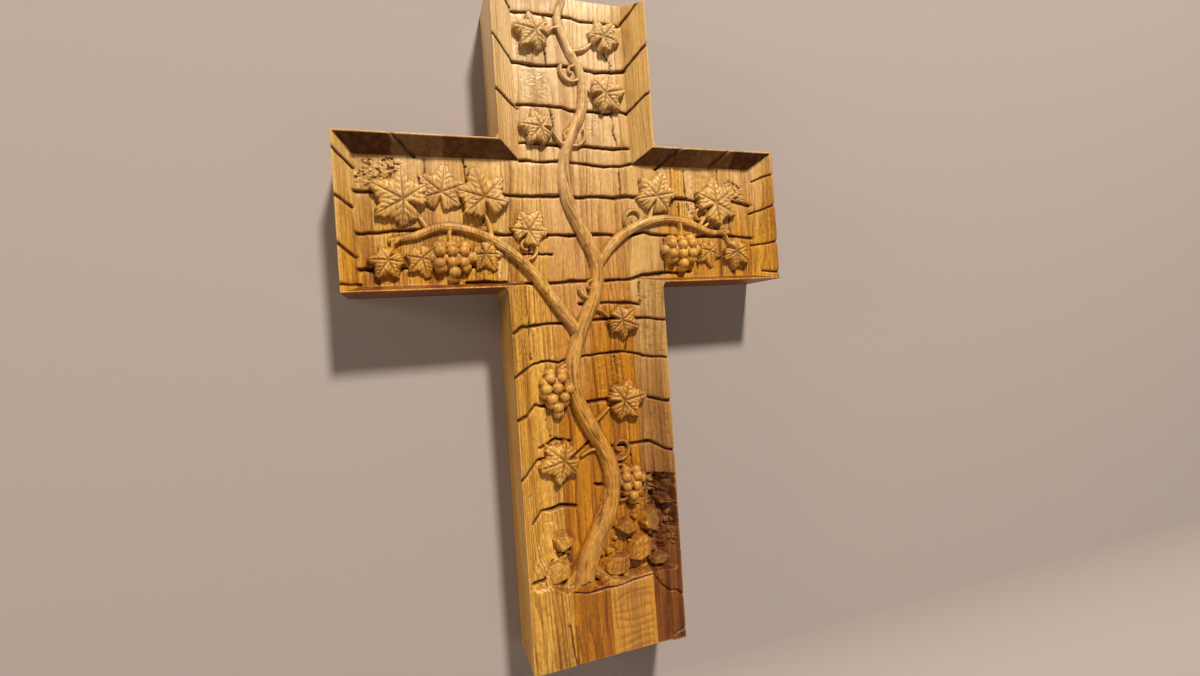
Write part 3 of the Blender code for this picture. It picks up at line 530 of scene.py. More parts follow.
# Each bunch: the middle of its top row, and the number of berries in each row. Then a berry's radius.
BUNCHES = (
    (-80, -62.5, (3, 4, 3, 1)), (69, -59.5, (3, 4, 3, 1)), (-23, -141, (2, 3, 3, 2, 1)),
    (22, -207.5, (2, 3, 2, 1)),
)
BERRY = 3.8
# Fallen blocks: middle, half length and height, and turn in degrees.
BLOCKS = (
    (-31, -262, 9.5, 7.6, 14), (-26, -245, 7.6, 6.2, -22), (8, -265, 10.0, 7.4, -9),
    (33, -240, 8.2, 6.8, 68), (24, -258, 10.5, 8.6, 27), (17, -243, 7.4, 5.8, -34),
    (38, -266, 6.5, 5.0, -12),
)
# Tendrils: where each springs off, its size, the way it starts in degrees, and which way it winds.
TENDRILS = (
    (-44, -66, 9.0, 200, 1), (34, -53, 8.0, 250, -1), (-7, 50, 8.0, 160, 1), (6, 10, 8.5, 20, -1),
    (-12, -150, 8.5, 10, -1), (9, -216, 7.5, 150, 1), (84, -51, 8.0, 260, 1), (-4, -90, 8.5, 190, 1),
    (8, -195, 8.5, 200, 1),
)


def leave_stem(carving, stem, bark=1.0, rise=1.25, base=FIELD):
    """A length of vine wood: round-backed and knotty, with stringy bark that winds along it."""
    path = smooth_path(stem)
    lengths = np.concatenate([[0.0], np.cumsum(np.hypot(*np.diff(path[:, :2], axis=0).T))])
    near, away, along, side = near_path(carving.x, carving.z, path[:, :2], path[:, 2].max() + 1.8)
    if not near.size:
        return
    radius = np.interp(along, lengths, path[:, 2])
    knots = 0.10 * noise(along, side * 3.0, 11.0, 2.0, 91) + 0.04 * noise(along, side, 3.0, 2.0, 92)
    radius = radius * (1.0 + bark * knots)
    share = np.clip(away / radius, 0.0, 1.0)
    across = side * share * 3.0 + 0.035 * along
    strings = noise(along + 2.2 * across, across, 16.0, 0.46, 93)
    strings += 0.5 * noise(along, across, 5.0, 0.22, 94)
    size = np.clip(radius / 5.0, 0.3, 1.3)
    height = radius * rise * np.sqrt(1.0 - share ** 2.2) + bark * size * 0.55 * strings * (1.0 - share ** 5)
    carving.raise_to(near, height, radius - away, base)
    furrow = (radius > away) * bark * ease(-strings * 1.5 - 0.45) * 0.6
    carving.stain_and_shade[near] = np.maximum(carving.stain_and_shade[near], furrow)


# A leaf's lobes on either side: angle from the tip, length as a share of the middle lobe, and width.
LOBES = ((0.0, 1.0, 0.52), (1.02, 0.90, 0.48), (2.02, 0.76, 0.52))
TEETH_PER_RADIAN = 4.4


def leaf_outline(angle):
    """Reach of a five-lobed vine leaf at an angle from its tip, as a share of the middle lobe."""
    reach = np.zeros_like(angle)
    for middle, length, width in LOBES:
        away = np.abs(np.abs(angle) - middle) / width
        reach = np.maximum(reach, length * (0.62 + 0.38 * np.exp(-2.0 * away ** 1.6)))
    saw = (np.abs(angle) * TEETH_PER_RADIAN) % 1.0
    teeth = 0.955 + 0.085 * np.minimum(saw * 1.4, (1.0 - saw) * 3.5)
    return reach * teeth * (1.0 - 0.75 * np.exp(-((math.pi - np.abs(angle)) / 0.18) ** 2))


def along_veins(angle, out, curls):
    """How far out along the nearest of the five main veins, how far beside it, and how much the lobes
    curl there."""
    nearest = np.full(out.size, 9.0)
    forward, sideways, curl, weight = (np.zeros(out.size) for _ in range(4))
    for main, lift in zip((0.0, LOBES[1][0], -LOBES[1][0], LOBES[2][0], -LOBES[2][0]), curls):
        off = (angle - main + math.pi) % math.tau - math.pi
        mine = np.abs(off) < nearest
        nearest[mine] = np.abs(off)[mine]
        forward[mine] = (out * np.cos(off))[mine]
        sideways[mine] = (out * np.abs(np.sin(off)))[mine]
        pull = np.exp(-(off / 0.45) ** 2)
        curl += pull * lift
        weight += pull
    return forward, sideways, curl / np.maximum(weight, 0.05)


def leave_leaf(carving, leaf, seed):
    """A vine leaf: lobes that curl each their own way, a quilted blade, and veins cut into it."""
    x0, z0, size, tip, rise = leaf
    reach = size * LEAF_REACH
    near = np.flatnonzero(np.hypot(carving.x - x0, carving.z - z0) < reach * 1.05 + 1.5)
    rng = np.random.default_rng(500 + seed)
    curls = rng.uniform(-1.5, 1.3, 5)
    lean = rng.uniform(-0.8, 0.8, 2)
    if not near.size:
        return
    dx, dz = carving.x[near] - x0, carving.z[near] - z0
    out = np.hypot(dx, dz)
    angle = (np.arctan2(dz, dx) - math.radians(tip) + math.pi) % math.tau - math.pi
    limit = reach * leaf_outline(angle)
    share = np.clip(out / limit, 0.0, 1.0)
    forward, sideways, curl = along_veins(angle, out, curls)
    height = 4.3 + 1.5 * (1.0 - share ** 2) + (curl - 0.5) * share ** 2
    height += (lean[0] * dx + lean[1] * dz) / reach
    height += 0.35 * share ** 3 * np.sin(angle * 11.0 + seed)
    gap = reach * 0.19
    row = (forward - 0.8 * sideways) / gap
    blade = ease((sideways - 0.3) / 1.2) * (1.0 - share ** 6)
    height += 0.45 * blade * (0.5 - 0.5 * np.cos(row * math.tau))
    height += 0.55 * ease(sideways / (0.17 * reach)) * (1.0 - share ** 4)
    main_vein = np.exp(-(sideways / (0.55 * (1.2 - share))) ** 2) * (forward > 0)
    side_vein = np.exp(-((row - np.round(row)) * gap * 0.78 / 0.30) ** 2) * blade * (forward > gap * 0.6)
    height = rise * height - 0.75 * main_vein - 0.28 * side_vein
    height = np.clip(height, 1.2, FIELD - 0.6) * (0.66 + 0.34 * ease((limit - out) / 0.9))
    carving.raise_to(near, height, limit - out)
    on_top = (limit > out) & (FIELD - height < carving.depth[near] + 0.02)
    oiled = np.maximum(0.62 * main_vein, 0.3 * side_vein)
    carving.stain_and_shade[near] = np.where(on_top, np.maximum(carving.stain_and_shade[near], oiled), carving.stain_and_shade[near])


def leave_berry(carving, x0, z0, radius, base):
    """A round grape whose widest part stands base above the wall."""
    near = np.flatnonzero((np.abs(carving.x - x0) < radius + 1.0) & (np.abs(carving.z - z0) < radius + 1.0))
    if not near.size:
        return
    away = np.hypot(carving.x[near] - x0, carving.z[near] - z0)
    height = base + radius * 1.05 * np.sqrt(np.clip(1.0 - (away / radius) ** 2, 0.0, 1.0))
    carving.raise_to(near, height, radius - away)


def leave_bunch(carving, bunch, seed):
    """A bunch of grapes: one layer of berries on the wall, and a second that sits in its gaps."""
    x0, z0, rows = bunch
    rng = np.random.default_rng(700 + seed)
    step = 2 * BERRY * 0.94
    under = [(row, count) for row, count in enumerate(rows)]
    over = [(row + 0.5, min(rows[row], rows[row + 1])) for row in range(len(rows) - 1)]
    layers = ((under, 0.25, (0.94, 1.04), (0.6, 1.4)), (over, 0.35, (0.86, 0.95), (3.2, 4.0)))
    for layer, loose, sizes, levels in layers:
        for row, count in layer:
            for berry in range(count):
                jog = rng.normal(0.0, loose, 2)
                x = x0 + (berry - (count - 1) / 2) * step + jog[0]
                z = z0 - row * step * 0.86 + jog[1]
                leave_berry(carving, x, z, BERRY * rng.uniform(*sizes), rng.uniform(*levels))


def leave_block(carving, block, seed):
    """A fallen stone of the wall: a hewn block that lies tilted, with broken corners and blunt edges."""
    x0, z0, half_length, half_height, turn = block
    reach = half_length + half_height
    near = np.flatnonzero((np.abs(carving.x - x0) < reach) & (np.abs(carving.z - z0) < reach))
    rng = np.random.default_rng(720 + seed)
    tilt = rng.uniform(-1.3, 1.3, 2)
    corners = rng.uniform(0.15, 0.75, 4) * half_height
    crown = rng.uniform(5.6, 7.0)
    if not near.size:
        return
    dx, dz = carving.bent_x[near] - x0, carving.bent_z[near] - z0
    lean = math.radians(turn)
    u = dx * math.cos(lean) + dz * math.sin(lean)
    v = dz * math.cos(lean) - dx * math.sin(lean)
    edge = np.minimum(half_length - np.abs(u), half_height - np.abs(v))
    corner = (half_length + half_height - np.abs(u) - np.abs(v)) / 1.4
    edge = np.minimum(edge, corner - corners[(u > 0).astype(int) + 2 * (v > 0).astype(int)])
    hacked = 0.30 * noise(u + 31 * seed, v, 3.4, 1.6, 721) + 0.14 * noise(u, v + 17 * seed, 1.1, 1.1, 722)
    top = crown + tilt[0] * u / half_length + tilt[1] * v / half_height + hacked
    side = edge * 2.6
    blunt = np.clip(0.5 + 0.5 * (side - top) / 1.1, 0.0, 1.0)
    height = side * (1.0 - blunt) + top * blunt - 0.55 * blunt * (1.0 - blunt)
    carving.raise_to(near, np.maximum(height, 0.0), edge)
    stone = edge > 0
    carving.polish[near] *= np.where(stone, 0.5, 1.0)
    chiselled = stone * 0.35 * ease(-hacked * 4.0 - 0.5)
    carving.stain_and_shade[near] = np.maximum(carving.stain_and_shade[near], chiselled)


# Where spalls lie, as ranges of x and z, and how many there are.
RIGHT_HEAP = ((-4, 46), (-276, -236))
LEFT_HEAP = ((-44, -20), (-274, -250))
SPALLS = 80
LEFT_SHARE = 0.25


def leave_rubble(carving):
    """Small spalls heaped between the blocks and along the sill."""
    rng = np.random.default_rng(730)
    for _ in range(SPALLS):
        x0, z0 = (rng.uniform(*span) for span in RIGHT_HEAP)
        if rng.random() < LEFT_SHARE:
            x0, z0 = (rng.uniform(*span) for span in LEFT_HEAP)
        size = rng.uniform(1.3, 3.4)
        near = np.flatnonzero((np.abs(carving.x - x0) < size + 1) & (np.abs(carving.z - z0) < size + 1))
        if not near.size:
            continue
        turn = rng.uniform(0, math.pi)
        dx, dz = carving.x[near] - x0, carving.z[near] - z0
        u = (dx * math.cos(turn) + dz * math.sin(turn)) / size
        v = (dz * math.cos(turn) - dx * math.sin(turn)) / (size * 0.75)
        out = np.maximum(np.maximum(np.abs(u + 0.2 * v), np.abs(v)), 0.72 * (np.abs(u) + np.abs(v)))
        lump = 1.2 * size ** 0.7 * np.clip(2.4 * (1.0 - out), 0.0, 1.0) * (1.0 + 0.3 * u)
        carving.raise_to(near, lump, (1.0 - out) * size)


def leave_tendril(carving, tendril):
    """A curl that springs off a stem and winds in on itself."""
    x0, z0, size, start, sense = tendril
    turns = np.linspace(0.0, 1.0, 40)
    first = math.radians(start)
    reach = size * (1.0 - 0.82 * turns)
    swing = first + sense * turns * 7.4
    middle = (x0 - size * math.cos(first), z0 - size * math.sin(first))
    path = np.stack([middle[0] + reach * np.cos(swing), middle[1] + reach * np.sin(swing)], 1)
    near, away, along, _ = near_path(carving.x, carving.z, path, 2.6)
    if not near.size:
        return
    radius = 1.25 - 0.012 * along
    height = 1.0 + radius * 1.7 * np.sqrt(np.clip(1.0 - (away / radius) ** 2, 0.0, 1.0))
    carving.raise_to(near, height, radius - away)


def grow_vine(carving):
    """The vine that climbs out of the rocks and into both arms, low forms first."""
    for tendril in TENDRILS:
        leave_tendril(carving, tendril)
    for stem in (*ROOTS, LEFT_SHOOT, RIGHT_SHOOT, TRUNK):
        leave_stem(carving, stem)
    for stalk in STALKS:
        leave_stem(carving, [(x, z, 1.55 - 0.2 * i) for i, (x, z) in enumerate(stalk)], 0.3, 2.1)
    for seed, bunch in enumerate(BUNCHES):
        leave_bunch(carving, bunch, seed)
    for seed, leaf in enumerate(LEAVES):
        leave_leaf(carving, leaf, seed)


def wear_edges(carving):
    """The outer edges, rounded, nicked and polished by hands and dusting."""
    inside = outer_distance(carving.x, carving.z)
    short = np.clip(EDGE_WEAR - inside, 0.0, EDGE_WEAR)
    nick = 1.0 + 0.6 * noise(carving.x, carving.z, 6.0, 6.0, 95)
    carving.depth += (EDGE_WEAR - np.sqrt(EDGE_WEAR ** 2 - np.clip(short, 0, EDGE_WEAR) ** 2)) * nick
    carving.polish = np.maximum(carving.polish, 0.7 * ease(1.0 - inside / 1.5))
    carving.depth = np.clip(carving.depth, 0.02, 16.0)


def carve(x, z):
    """All the carving at the spots, from the deep cuts to the worn edges."""
    carving = Carving(x, z)
    sink_tray(carving)
    leave_left_ledge(carving)
    lay_stones(carving)
    for seed, patch in enumerate(HACKED_IN_ARMS, 1):
        roughen(carving, *patch, seed)
    break_wall(carving)
    leave_rubble(carving)
    for seed, block in enumerate(BLOCKS):
        leave_block(carving, block, seed)
    grow_vine(carving)
    leave_sill(carving)
    wear_edges(carving)
    return carving


def lines(low, high, pitch, worn_low=False, worn_high=False):
    """Grid lines from low to high, closer together along an edge that is worn round."""
    first = [low + step for step in EDGE_LINES] if worn_low else []
    last = [high - step for step in reversed(EDGE_LINES)] if worn_high else []
    inner_low = first[-1] if first else low
    inner_high = last[0] if last else high
    count = max(1, round((inner_high - inner_low) / pitch))
    inner = list(np.linspace(inner_low, inner_high, count + 1))
    return np.array(([low] if first else []) + first[:-1] + inner + last[1:] + ([high] if last else []))


def joined(*parts):
    """Several runs of grid lines as one, each line once."""
    return np.unique(np.round(np.concatenate(parts), 5))


HEAD_LINES = joined(lines(0.0, SHOULDER, PITCH_ALONG), lines(SHOULDER, HEAD, PITCH_ALONG, False, True))
ARM_LINES = lines(ARM_FOOT, 0.0, PITCH_ALONG, True, True)
FOOT_LINES = joined(lines(BOTTOM, ARM_FOOT - SHOULDER, PITCH_ALONG, True, False),
                    lines(ARM_FOOT - SHOULDER, ARM_FOOT, PITCH_ALONG))


def grid(xs, zs):
    return np.meshgrid(xs, zs, indexing="ij")


def shoulder_patch(xs, above):
    """The wood in the milled inner corner: columns that end on the arc."""
    out = np.abs(xs) - HALF_WIDTH
    reach = SHOULDER - np.sqrt(np.clip(SHOULDER ** 2 - (SHOULDER - out) ** 2, 0.0, None))
    rows = HEAD_LINES[HEAD_LINES <= SHOULDER + 1e-6] / SHOULDER
    x = np.repeat(xs[:, None], len(rows), 1)
    z = reach[:, None] * rows[None, :]
    if above:
        return x, z
    return x, (ARM_FOOT - z)[:, ::-1]


def patches(left, right):
    """The parts of a stave's front, as grids of x and z: its length in the upright, its tab in an arm."""
    upright_low, upright_high = max(left, -HALF_WIDTH), min(right, HALF_WIDTH)
    made = []
    if upright_high > upright_low:
        worn = upright_low == -HALF_WIDTH, upright_high == HALF_WIDTH
        xs = lines(upright_low, upright_high, PITCH_ACROSS, *worn)
        made.append(grid(xs, joined(FOOT_LINES, ARM_LINES, HEAD_LINES)))
    for low, high in ((left, min(right, -HALF_WIDTH)), (max(left, HALF_WIDTH), right)):
        if high <= low:
            continue
        beside_upright = HALF_WIDTH in (abs(low), abs(high))
        if beside_upright:
            corner = math.copysign(HALF_WIDTH + SHOULDER, low + high)
            spans = [sorted((end, corner)) for end in (low, high)]
            xs = joined(*(lines(*span, PITCH_ACROSS) for span in spans))
            curved = xs[np.abs(xs) <= HALF_WIDTH + SHOULDER + 1e-6]
            made += [shoulder_patch(curved, True), shoulder_patch(curved, False)]
        else:
            xs = lines(low, high, PITCH_ACROSS, low == -HALF_SPAN, high == HALF_SPAN)
        made.append(grid(xs, ARM_LINES))
    return made


def front_sheet(left, right):
    """The carved front of a stave as spots on the drawing and faces that look out of the front."""
    xs, zs, quads = [], [], []
    start = 0
    for x, z in patches(left, right):
        across, along = x.shape
        index = start + np.arange(across * along).reshape(across, along)
        corners = (index[:-1, :-1], index[1:, :-1], index[1:, 1:], index[:-1, 1:])
        quads.append(np.stack(corners, -1).reshape(-1, 4))
        xs.append(x.ravel())
        zs.append(z.ravel())
        start += across * along
    spots = np.stack([np.concatenate(xs), np.concatenate(zs)], 1)
    _, first, index = np.unique(np.round(spots, 3), axis=0, return_index=True, return_inverse=True)
    spots = spots[first]
    faces = [tuple(dict.fromkeys(face)) for face in index.ravel()[np.concatenate(quads)].tolist()]
    faces = [face for face in faces if len(face) > 2]
    return spots, faces


def border(faces):
    """The sheet's border as a loop of point numbers, in the faces' own direction."""
    edges = {edge for face in faces for edge in zip(face, face[1:] + face[:1])}
    following = {a: b for a, b in edges if (b, a) not in edges}
    start = min(following)
    loop = [start]
    while following[loop[-1]] != start:
        loop.append(following[loop[-1]])
    return loop


def corners_of(loop, spots):
    """Places in the loop where its direction changes."""
    points = spots[loop]
    before = points - np.roll(points, 1, axis=0)
    after = np.roll(points, -1, axis=0) - points
    turning = before[:, 0] * after[:, 1] - before[:, 1] * after[:, 0]
    size = np.hypot(*before.T) * np.hypot(*after.T)
    return [i for i in range(len(loop)) if abs(turning[i]) > 1e-3 * size[i]]


def to_frame(x, depth, z):
    """Points of the drawing in the frame's metres."""
    return np.stack([x, depth - THICKNESS, z - DRAWING_TO_HANG_POINT], -1) * MM


def stadium(half_length, radius, middle, upright=False):
    """An outline with round ends in the frame's X and Z, in mm, lying along X or standing along Z."""
    straight = half_length - radius
    turns = [math.pi * (i / 20 - 0.5) for i in range(21)]
    points = [(straight + radius * math.cos(a), radius * math.sin(a)) for a in turns]
    points += [(-straight - radius * math.cos(a), -radius * math.sin(a)) for a in turns]
    return [((v if upright else u), (-u if upright else v) + middle) for u, v in points]


def cast(name, rings):
    """A closed block through rings of points in the frame's millimetres, from its back to its front."""
    bm = bmesh.new()
    made = [[bm.verts.new((x * MM, y * MM, z * MM)) for x, z in outline] for outline, y in rings]
    bm.faces.new(made[0])
    bm.faces.new(list(reversed(made[-1])))
    for before, after in zip(made, made[1:]):
        for i in range(len(before)):
            bm.faces.new((before[i - 1], before[i], after[i], after[i - 1]))
    bmesh.ops.recalc_face_normals(bm, faces=bm.faces)
    mesh = bpy.data.meshes.new(name)
    bm.to_mesh(mesh)
    bm.free()
    obj = bpy.data.objects.new(name, mesh)
    bpy.context.scene.collection.objects.link(obj)
    return obj


def prism(name, outline, back, front):
    """A closed block between two depths behind the back face."""
    return cast(name, [(outline, back), (outline, front)])


def hanger_cutters():
    """The plate's bed, the pocket for the wall screw's head, and the two screw holes."""
    bed = stadium(PLATE_LENGTH / 2 + FIT, PLATE_HEIGHT / 2 + FIT, PLATE_MIDDLE)
    pocket = stadium((POCKET_WIDTH - HOLE_MIDDLE) / 2, POCKET_WIDTH / 2, HOLE_MIDDLE / 2, True)
    cutters = [
        prism("plate_bed", bed, 2 * OVERCUT, -PLATE_THICKNESS - FIT),
        prism("head_pocket", pocket, OVERCUT, -PLATE_THICKNESS - POCKET_DEPTH),
    ]
    for side in (-1, 1):
        hole = ring(SCREW_HOLE_RADIUS, side * SCREW_OUT, PLATE_MIDDLE, 16)
        cutters.append(prism("screw_hole", hole, OVERCUT, -SCREW_HOLE_DEPTH))
    return cutters


def back_half(name, outline, cutters):
    """The rear of a stave as points and faces, open towards the carved sheet, with the hanger let in."""
    block = prism(name, [(x, z - DRAWING_TO_HANG_POINT) for x, z in outline], 0.0, SIDE_DEPTH - THICKNESS)
    cut_out(block, cutters)
    mesh = evaluated_mesh(block)
    points = np.array([vert.co for vert in mesh.vertices])
    open_side = (SIDE_DEPTH - THICKNESS) * MM
    faces = [tuple(poly.vertices) for poly in mesh.polygons
             if any(points[v][1] > open_side + 1e-7 for v in poly.vertices)]
    bpy.data.objects.remove(block, do_unlink=True)
    return points, faces


def weld(points, faces):
    """Points that lie in the same place become one. Also says which one each has become."""
    _, first, index = np.unique(np.round(points, 7), axis=0, return_index=True, return_inverse=True)
    index = index.ravel()
    faces = [tuple(dict.fromkeys(index[list(face)].tolist())) for face in faces]
    return points[first], faces, index


def side_faces(loop, turns, first_middle):
    """The stave's sides, one for each stretch of the front's border between two corners."""
    sides = []
    for k, start in enumerate(turns):
        stop = turns[(k + 1) % len(turns)]
        span = (stop - start) % len(loop)
        chain = [loop[(start + step) % len(loop)] for step in range(span + 1)]
        sides.append(tuple(reversed(chain)) + (first_middle + k, first_middle + (k + 1) % len(turns)))
    return sides


def keep_finish(mesh, front_faces, finish):
    """Keeps the dark oil marks with their painted shade, and the polish, of the carved front on its face
    corners. The rest has none.
    """
    corner_points = np.empty(len(mesh.loops), int)
    mesh.loops.foreach_get("vertex_index", corner_points)
    on_front = np.arange(len(mesh.loops)) < sum(len(face) for face in front_faces)
    for label, values in zip(("stain_and_shade", "polish"), finish):
        attribute = mesh.attributes.new(label, "FLOAT", "CORNER")
        attribute.data.foreach_set("value", np.where(on_front, values[corner_points], 0.0))


def stave_mesh(name, left, right, cutters):
    """One stave as a closed mesh: carved front, straight sides, and a back that the hanger is let into."""
    spots, faces = front_sheet(left, right)
    carving = carve(spots[:, 0], spots[:, 1])
    front = to_frame(spots[:, 0], carving.depth, spots[:, 1])
    loop = border(faces)
    turns = corners_of(loop, spots)
    outline = [tuple(spots[loop[i]]) for i in turns]
    rear, rear_faces = back_half(name, outline, cutters)
    corner_x, corner_z = np.array(outline).T
    middle = to_frame(corner_x, np.full(len(outline), SIDE_DEPTH), corner_z)
    first_middle, first_rear = len(front), len(front) + len(middle)
    points = np.vstack([front, middle, rear])
    every = faces + side_faces(loop, turns, first_middle)
    every += [tuple(v + first_rear for v in face) for face in rear_faces]
    points, every, index = weld(points, every)
    mesh = bpy.data.meshes.new(name)
    mesh.from_pydata(points.tolist(), [], every)
    finish = np.zeros((2, len(points)))
    finish[0, index[:len(front)]] = carving.stain_and_shade
    finish[1, index[:len(front)]] = carving.polish
    keep_finish(mesh, every[:len(faces)], finish)
    smooth = np.arange(len(mesh.polygons)) < len(faces)
    mesh.polygons.foreach_set("use_smooth", smooth)
    mesh.validate()
    mesh.update()
    return mesh


def tree_of(name, inputs, outputs):
    """A shader node group with named sockets: {name: (kind, default)} in, {name: kind} out."""
    group = bpy.data.node_groups.new(name, "ShaderNodeTree")
    for label, (kind, default) in inputs.items():
        socket = group.interface.new_socket(label, in_out="INPUT", socket_type=kind)
        socket.default_value = default
    for label, kind in outputs.items():
        group.interface.new_socket(label, in_out="OUTPUT", socket_type=kind)
    return group, group.nodes.new("NodeGroupInput"), group.nodes.new("NodeGroupOutput")


def add(tree, kind, inputs=None, **settings):
    """A node with its settings and inputs. An input that is a socket is linked, a value is set."""
    node = tree.nodes.new(kind)
    for label, value in settings.items():
        setattr(node, label, value)
    for label, value in (inputs or {}).items():
        socket = node.inputs[label]
        if isinstance(value, bpy.types.NodeSocket):
            tree.links.new(value, socket)
        else:
            socket.default_value = value
    return node


def maths(tree, operation, a, b=0.0, c=0.0, clamp=False):
    return add(tree, "ShaderNodeMath", {0: a, 1: b, 2: c}, operation=operation, use_clamp=clamp).outputs[0]


def ramp(tree, factor, *stops):
    """Blends along a factor. Each stop is (position, grey value) or (position, colour)."""
    node = add(tree, "ShaderNodeValToRGB", {"Fac": factor})
    elements = node.color_ramp.elements
    for index, (position, value) in enumerate(stops):
        element = elements[index] if index < 2 else elements.new(position)
        element.position = position
        element.color = (value, value, value, 1.0) if isinstance(value, (int, float)) else (*value, 1.0)
    return node.outputs["Color"]


def blend(tree, kind, factor, a, b):
    """Two colours mixed. Each of the three inputs is a socket or a value."""
    node = tree.nodes.new("ShaderNodeMix")
    node.data_type = "RGBA"
    node.blend_type = kind
    for socket, value in ((node.inputs[0], factor), (node.inputs[6], a), (node.inputs[7], b)):
        if isinstance(value, bpy.types.NodeSocket):
            tree.links.new(value, socket)
        else:
            socket.default_value = value if socket == node.inputs[0] else (*value, 1.0)
    return node.outputs[2]


def times(tree, value, share):
    return maths(tree, "MULTIPLY", value, share)


def streaks(tree, place, share, scale, detail=2.0, rough=0.5, across=1.0):
    """Noise on a place whose height is shrunk to a share, so that it runs in streaks along the grain."""
    along = add(tree, "ShaderNodeMapping", {"Vector": place, "Scale": (across, across, share)}).outputs[0]
    inputs = {"Vector": along, "Scale": scale, "Detail": detail, "Roughness": rough}
    return add(tree, "ShaderNodeTexNoise", inputs).outputs["Fac"]


def plain_noise(tree, place, scale, detail):
    inputs = {"Vector": place, "Scale": scale, "Detail": detail}
    return add(tree, "ShaderNodeTexNoise", inputs).outputs["Fac"]


# Where along a pattern its tones lie: a position, then a grey value or a colour.
LATE_WOOD = ((0.0, 1.0), (0.10, 0.75), (0.30, 0.28), (0.60, 0.0), (0.92, 0.0), (1.0, 1.0))
FADING = ((0.38, 0.22), (0.56, 1.0))
BAND_TONES = (
    (0.37, (0.54, 0.39, 0.20)), (0.47, (0.92, 0.89, 0.82)), (0.55, (1.02, 1.03, 1.03)),
    (0.68, (1.16, 1.21, 1.26)),
)
FIBRE_TONES = ((0.36, (0.60, 0.47, 0.30)), (0.50, (0.98, 0.97, 0.94)), (0.66, (1.13, 1.16, 1.16)))
MOTTLE_TONES = ((0.34, (0.74, 0.66, 0.54)), (0.50, (0.99, 0.98, 0.97)), (0.64, (1.10, 1.12, 1.13)))
PORES = ((0.55, 0.0), (0.62, 1.0))
# How far, in metres, the rings sway and flow, how far in front of the back face the tree's heart lies and
# how far to the side it may lie, and how far apart in the pattern two staves are taken.
RING_SWAY = 0.045
RING_FLOW = 0.006
HEART_IN_FRONT = 0.10
HEART_SPREAD = 0.16
TREE_STEPS = (0.37, 0.13, 0.71)
# The narrowest rings and the least drift, and how much more some staves have.
RING_WIDTHS = (0.0017, 0.0012)
RING_DRIFTS = (0.45, 0.45)


def growth_rings(group, given, place, moved):
    """Rings round a heart that lies in front of the stave and to one side of it. They sway along the tree
    and fade here and there."""
    apart = add(group, "ShaderNodeSeparateXYZ", {"Vector": place}).outputs
    heart = maths(group, "FRACT", times(group, given.outputs["Stave"], 3.77))
    heart = times(group, maths(group, "SUBTRACT", heart, 0.5), HEART_SPREAD)
    across = maths(group, "ADD", apart["X"], heart)
    inwards = maths(group, "ADD", apart["Y"], HEART_IN_FRONT)
    radius = maths(group, "ADD", times(group, across, across), times(group, inwards, inwards))
    radius = maths(group, "SQRT", radius)
    sway = times(group, streaks(group, moved, 0.14, 20.0, across=0.35), given.outputs["Drift"])
    flow = times(group, streaks(group, moved, 0.03, 90.0), RING_FLOW)
    turns = maths(group, "ADD", maths(group, "ADD", radius, times(group, sway, RING_SWAY)), flow)
    turns = maths(group, "DIVIDE", turns, given.outputs["Ring width"])
    uneven = add(group, "ShaderNodeTexNoise", {"W": turns, "Scale": 0.7}, noise_dimensions="1D")
    uneven = times(group, uneven.outputs["Fac"], 1.9)
    ring = ramp(group, maths(group, "FRACT", turns), *LATE_WOOD)
    ring = maths(group, "MULTIPLY", ring, uneven, clamp=True)
    return times(group, ring, ramp(group, streaks(group, moved, 0.16, 75.0), *FADING))


def oak_grain_group():
    """Growth rings, broad bands, fibres and pores of oak that runs up the stave."""
    group, given, out = tree_of(
        "oak_grain",
        {"Stave": ("NodeSocketFloat", 0.0), "Ring width": ("NodeSocketFloat", 0.0034),
         "Drift": ("NodeSocketFloat", 1.0)},
        {"Rings": "NodeSocketFloat", "Bands": "NodeSocketColor", "Fibres": "NodeSocketColor",
         "Pores": "NodeSocketFloat", "Height": "NodeSocketFloat"},
    )
    place = add(group, "ShaderNodeTexCoord").outputs["Object"]
    shift = {axis: times(group, given.outputs["Stave"], step) for axis, step in zip("XYZ", TREE_STEPS)}
    shift = add(group, "ShaderNodeCombineXYZ", shift).outputs[0]
    moved = add(group, "ShaderNodeVectorMath", {0: place, 1: shift}, operation="ADD").outputs[0]
    ring = growth_rings(group, given, place, moved)
    bands = ramp(group, streaks(group, moved, 0.035, 105.0, 3.0, 0.55), *BAND_TONES)
    fibres = streaks(group, moved, 0.022, 1000.0, 4.0, 0.62)
    mottle = streaks(group, moved, 0.55, 620.0, 4.0, 0.6)
    shaded = ramp(group, fibres, *FIBRE_TONES), ramp(group, mottle, *MOTTLE_TONES)
    pore = ramp(group, streaks(group, moved, 0.055, 1700.0, 1.0), *PORES)
    pore = maths(group, "MULTIPLY", pore, maths(group, "MULTIPLY_ADD", ring, 0.8, 0.25), clamp=True)
    height = maths(group, "MULTIPLY_ADD", pore, -1.0, fibres)
    height = maths(group, "MULTIPLY_ADD", ring, -0.5, height)
    height = maths(group, "MULTIPLY_ADD", mottle, 1.6, height)
    made = {"Rings": ring, "Bands": bands, "Fibres": blend(group, "MULTIPLY", 1.0, *shaded),
            "Pores": pore, "Height": height}
    for label, socket in made.items():
        group.links.new(socket, out.inputs[label])
    return group


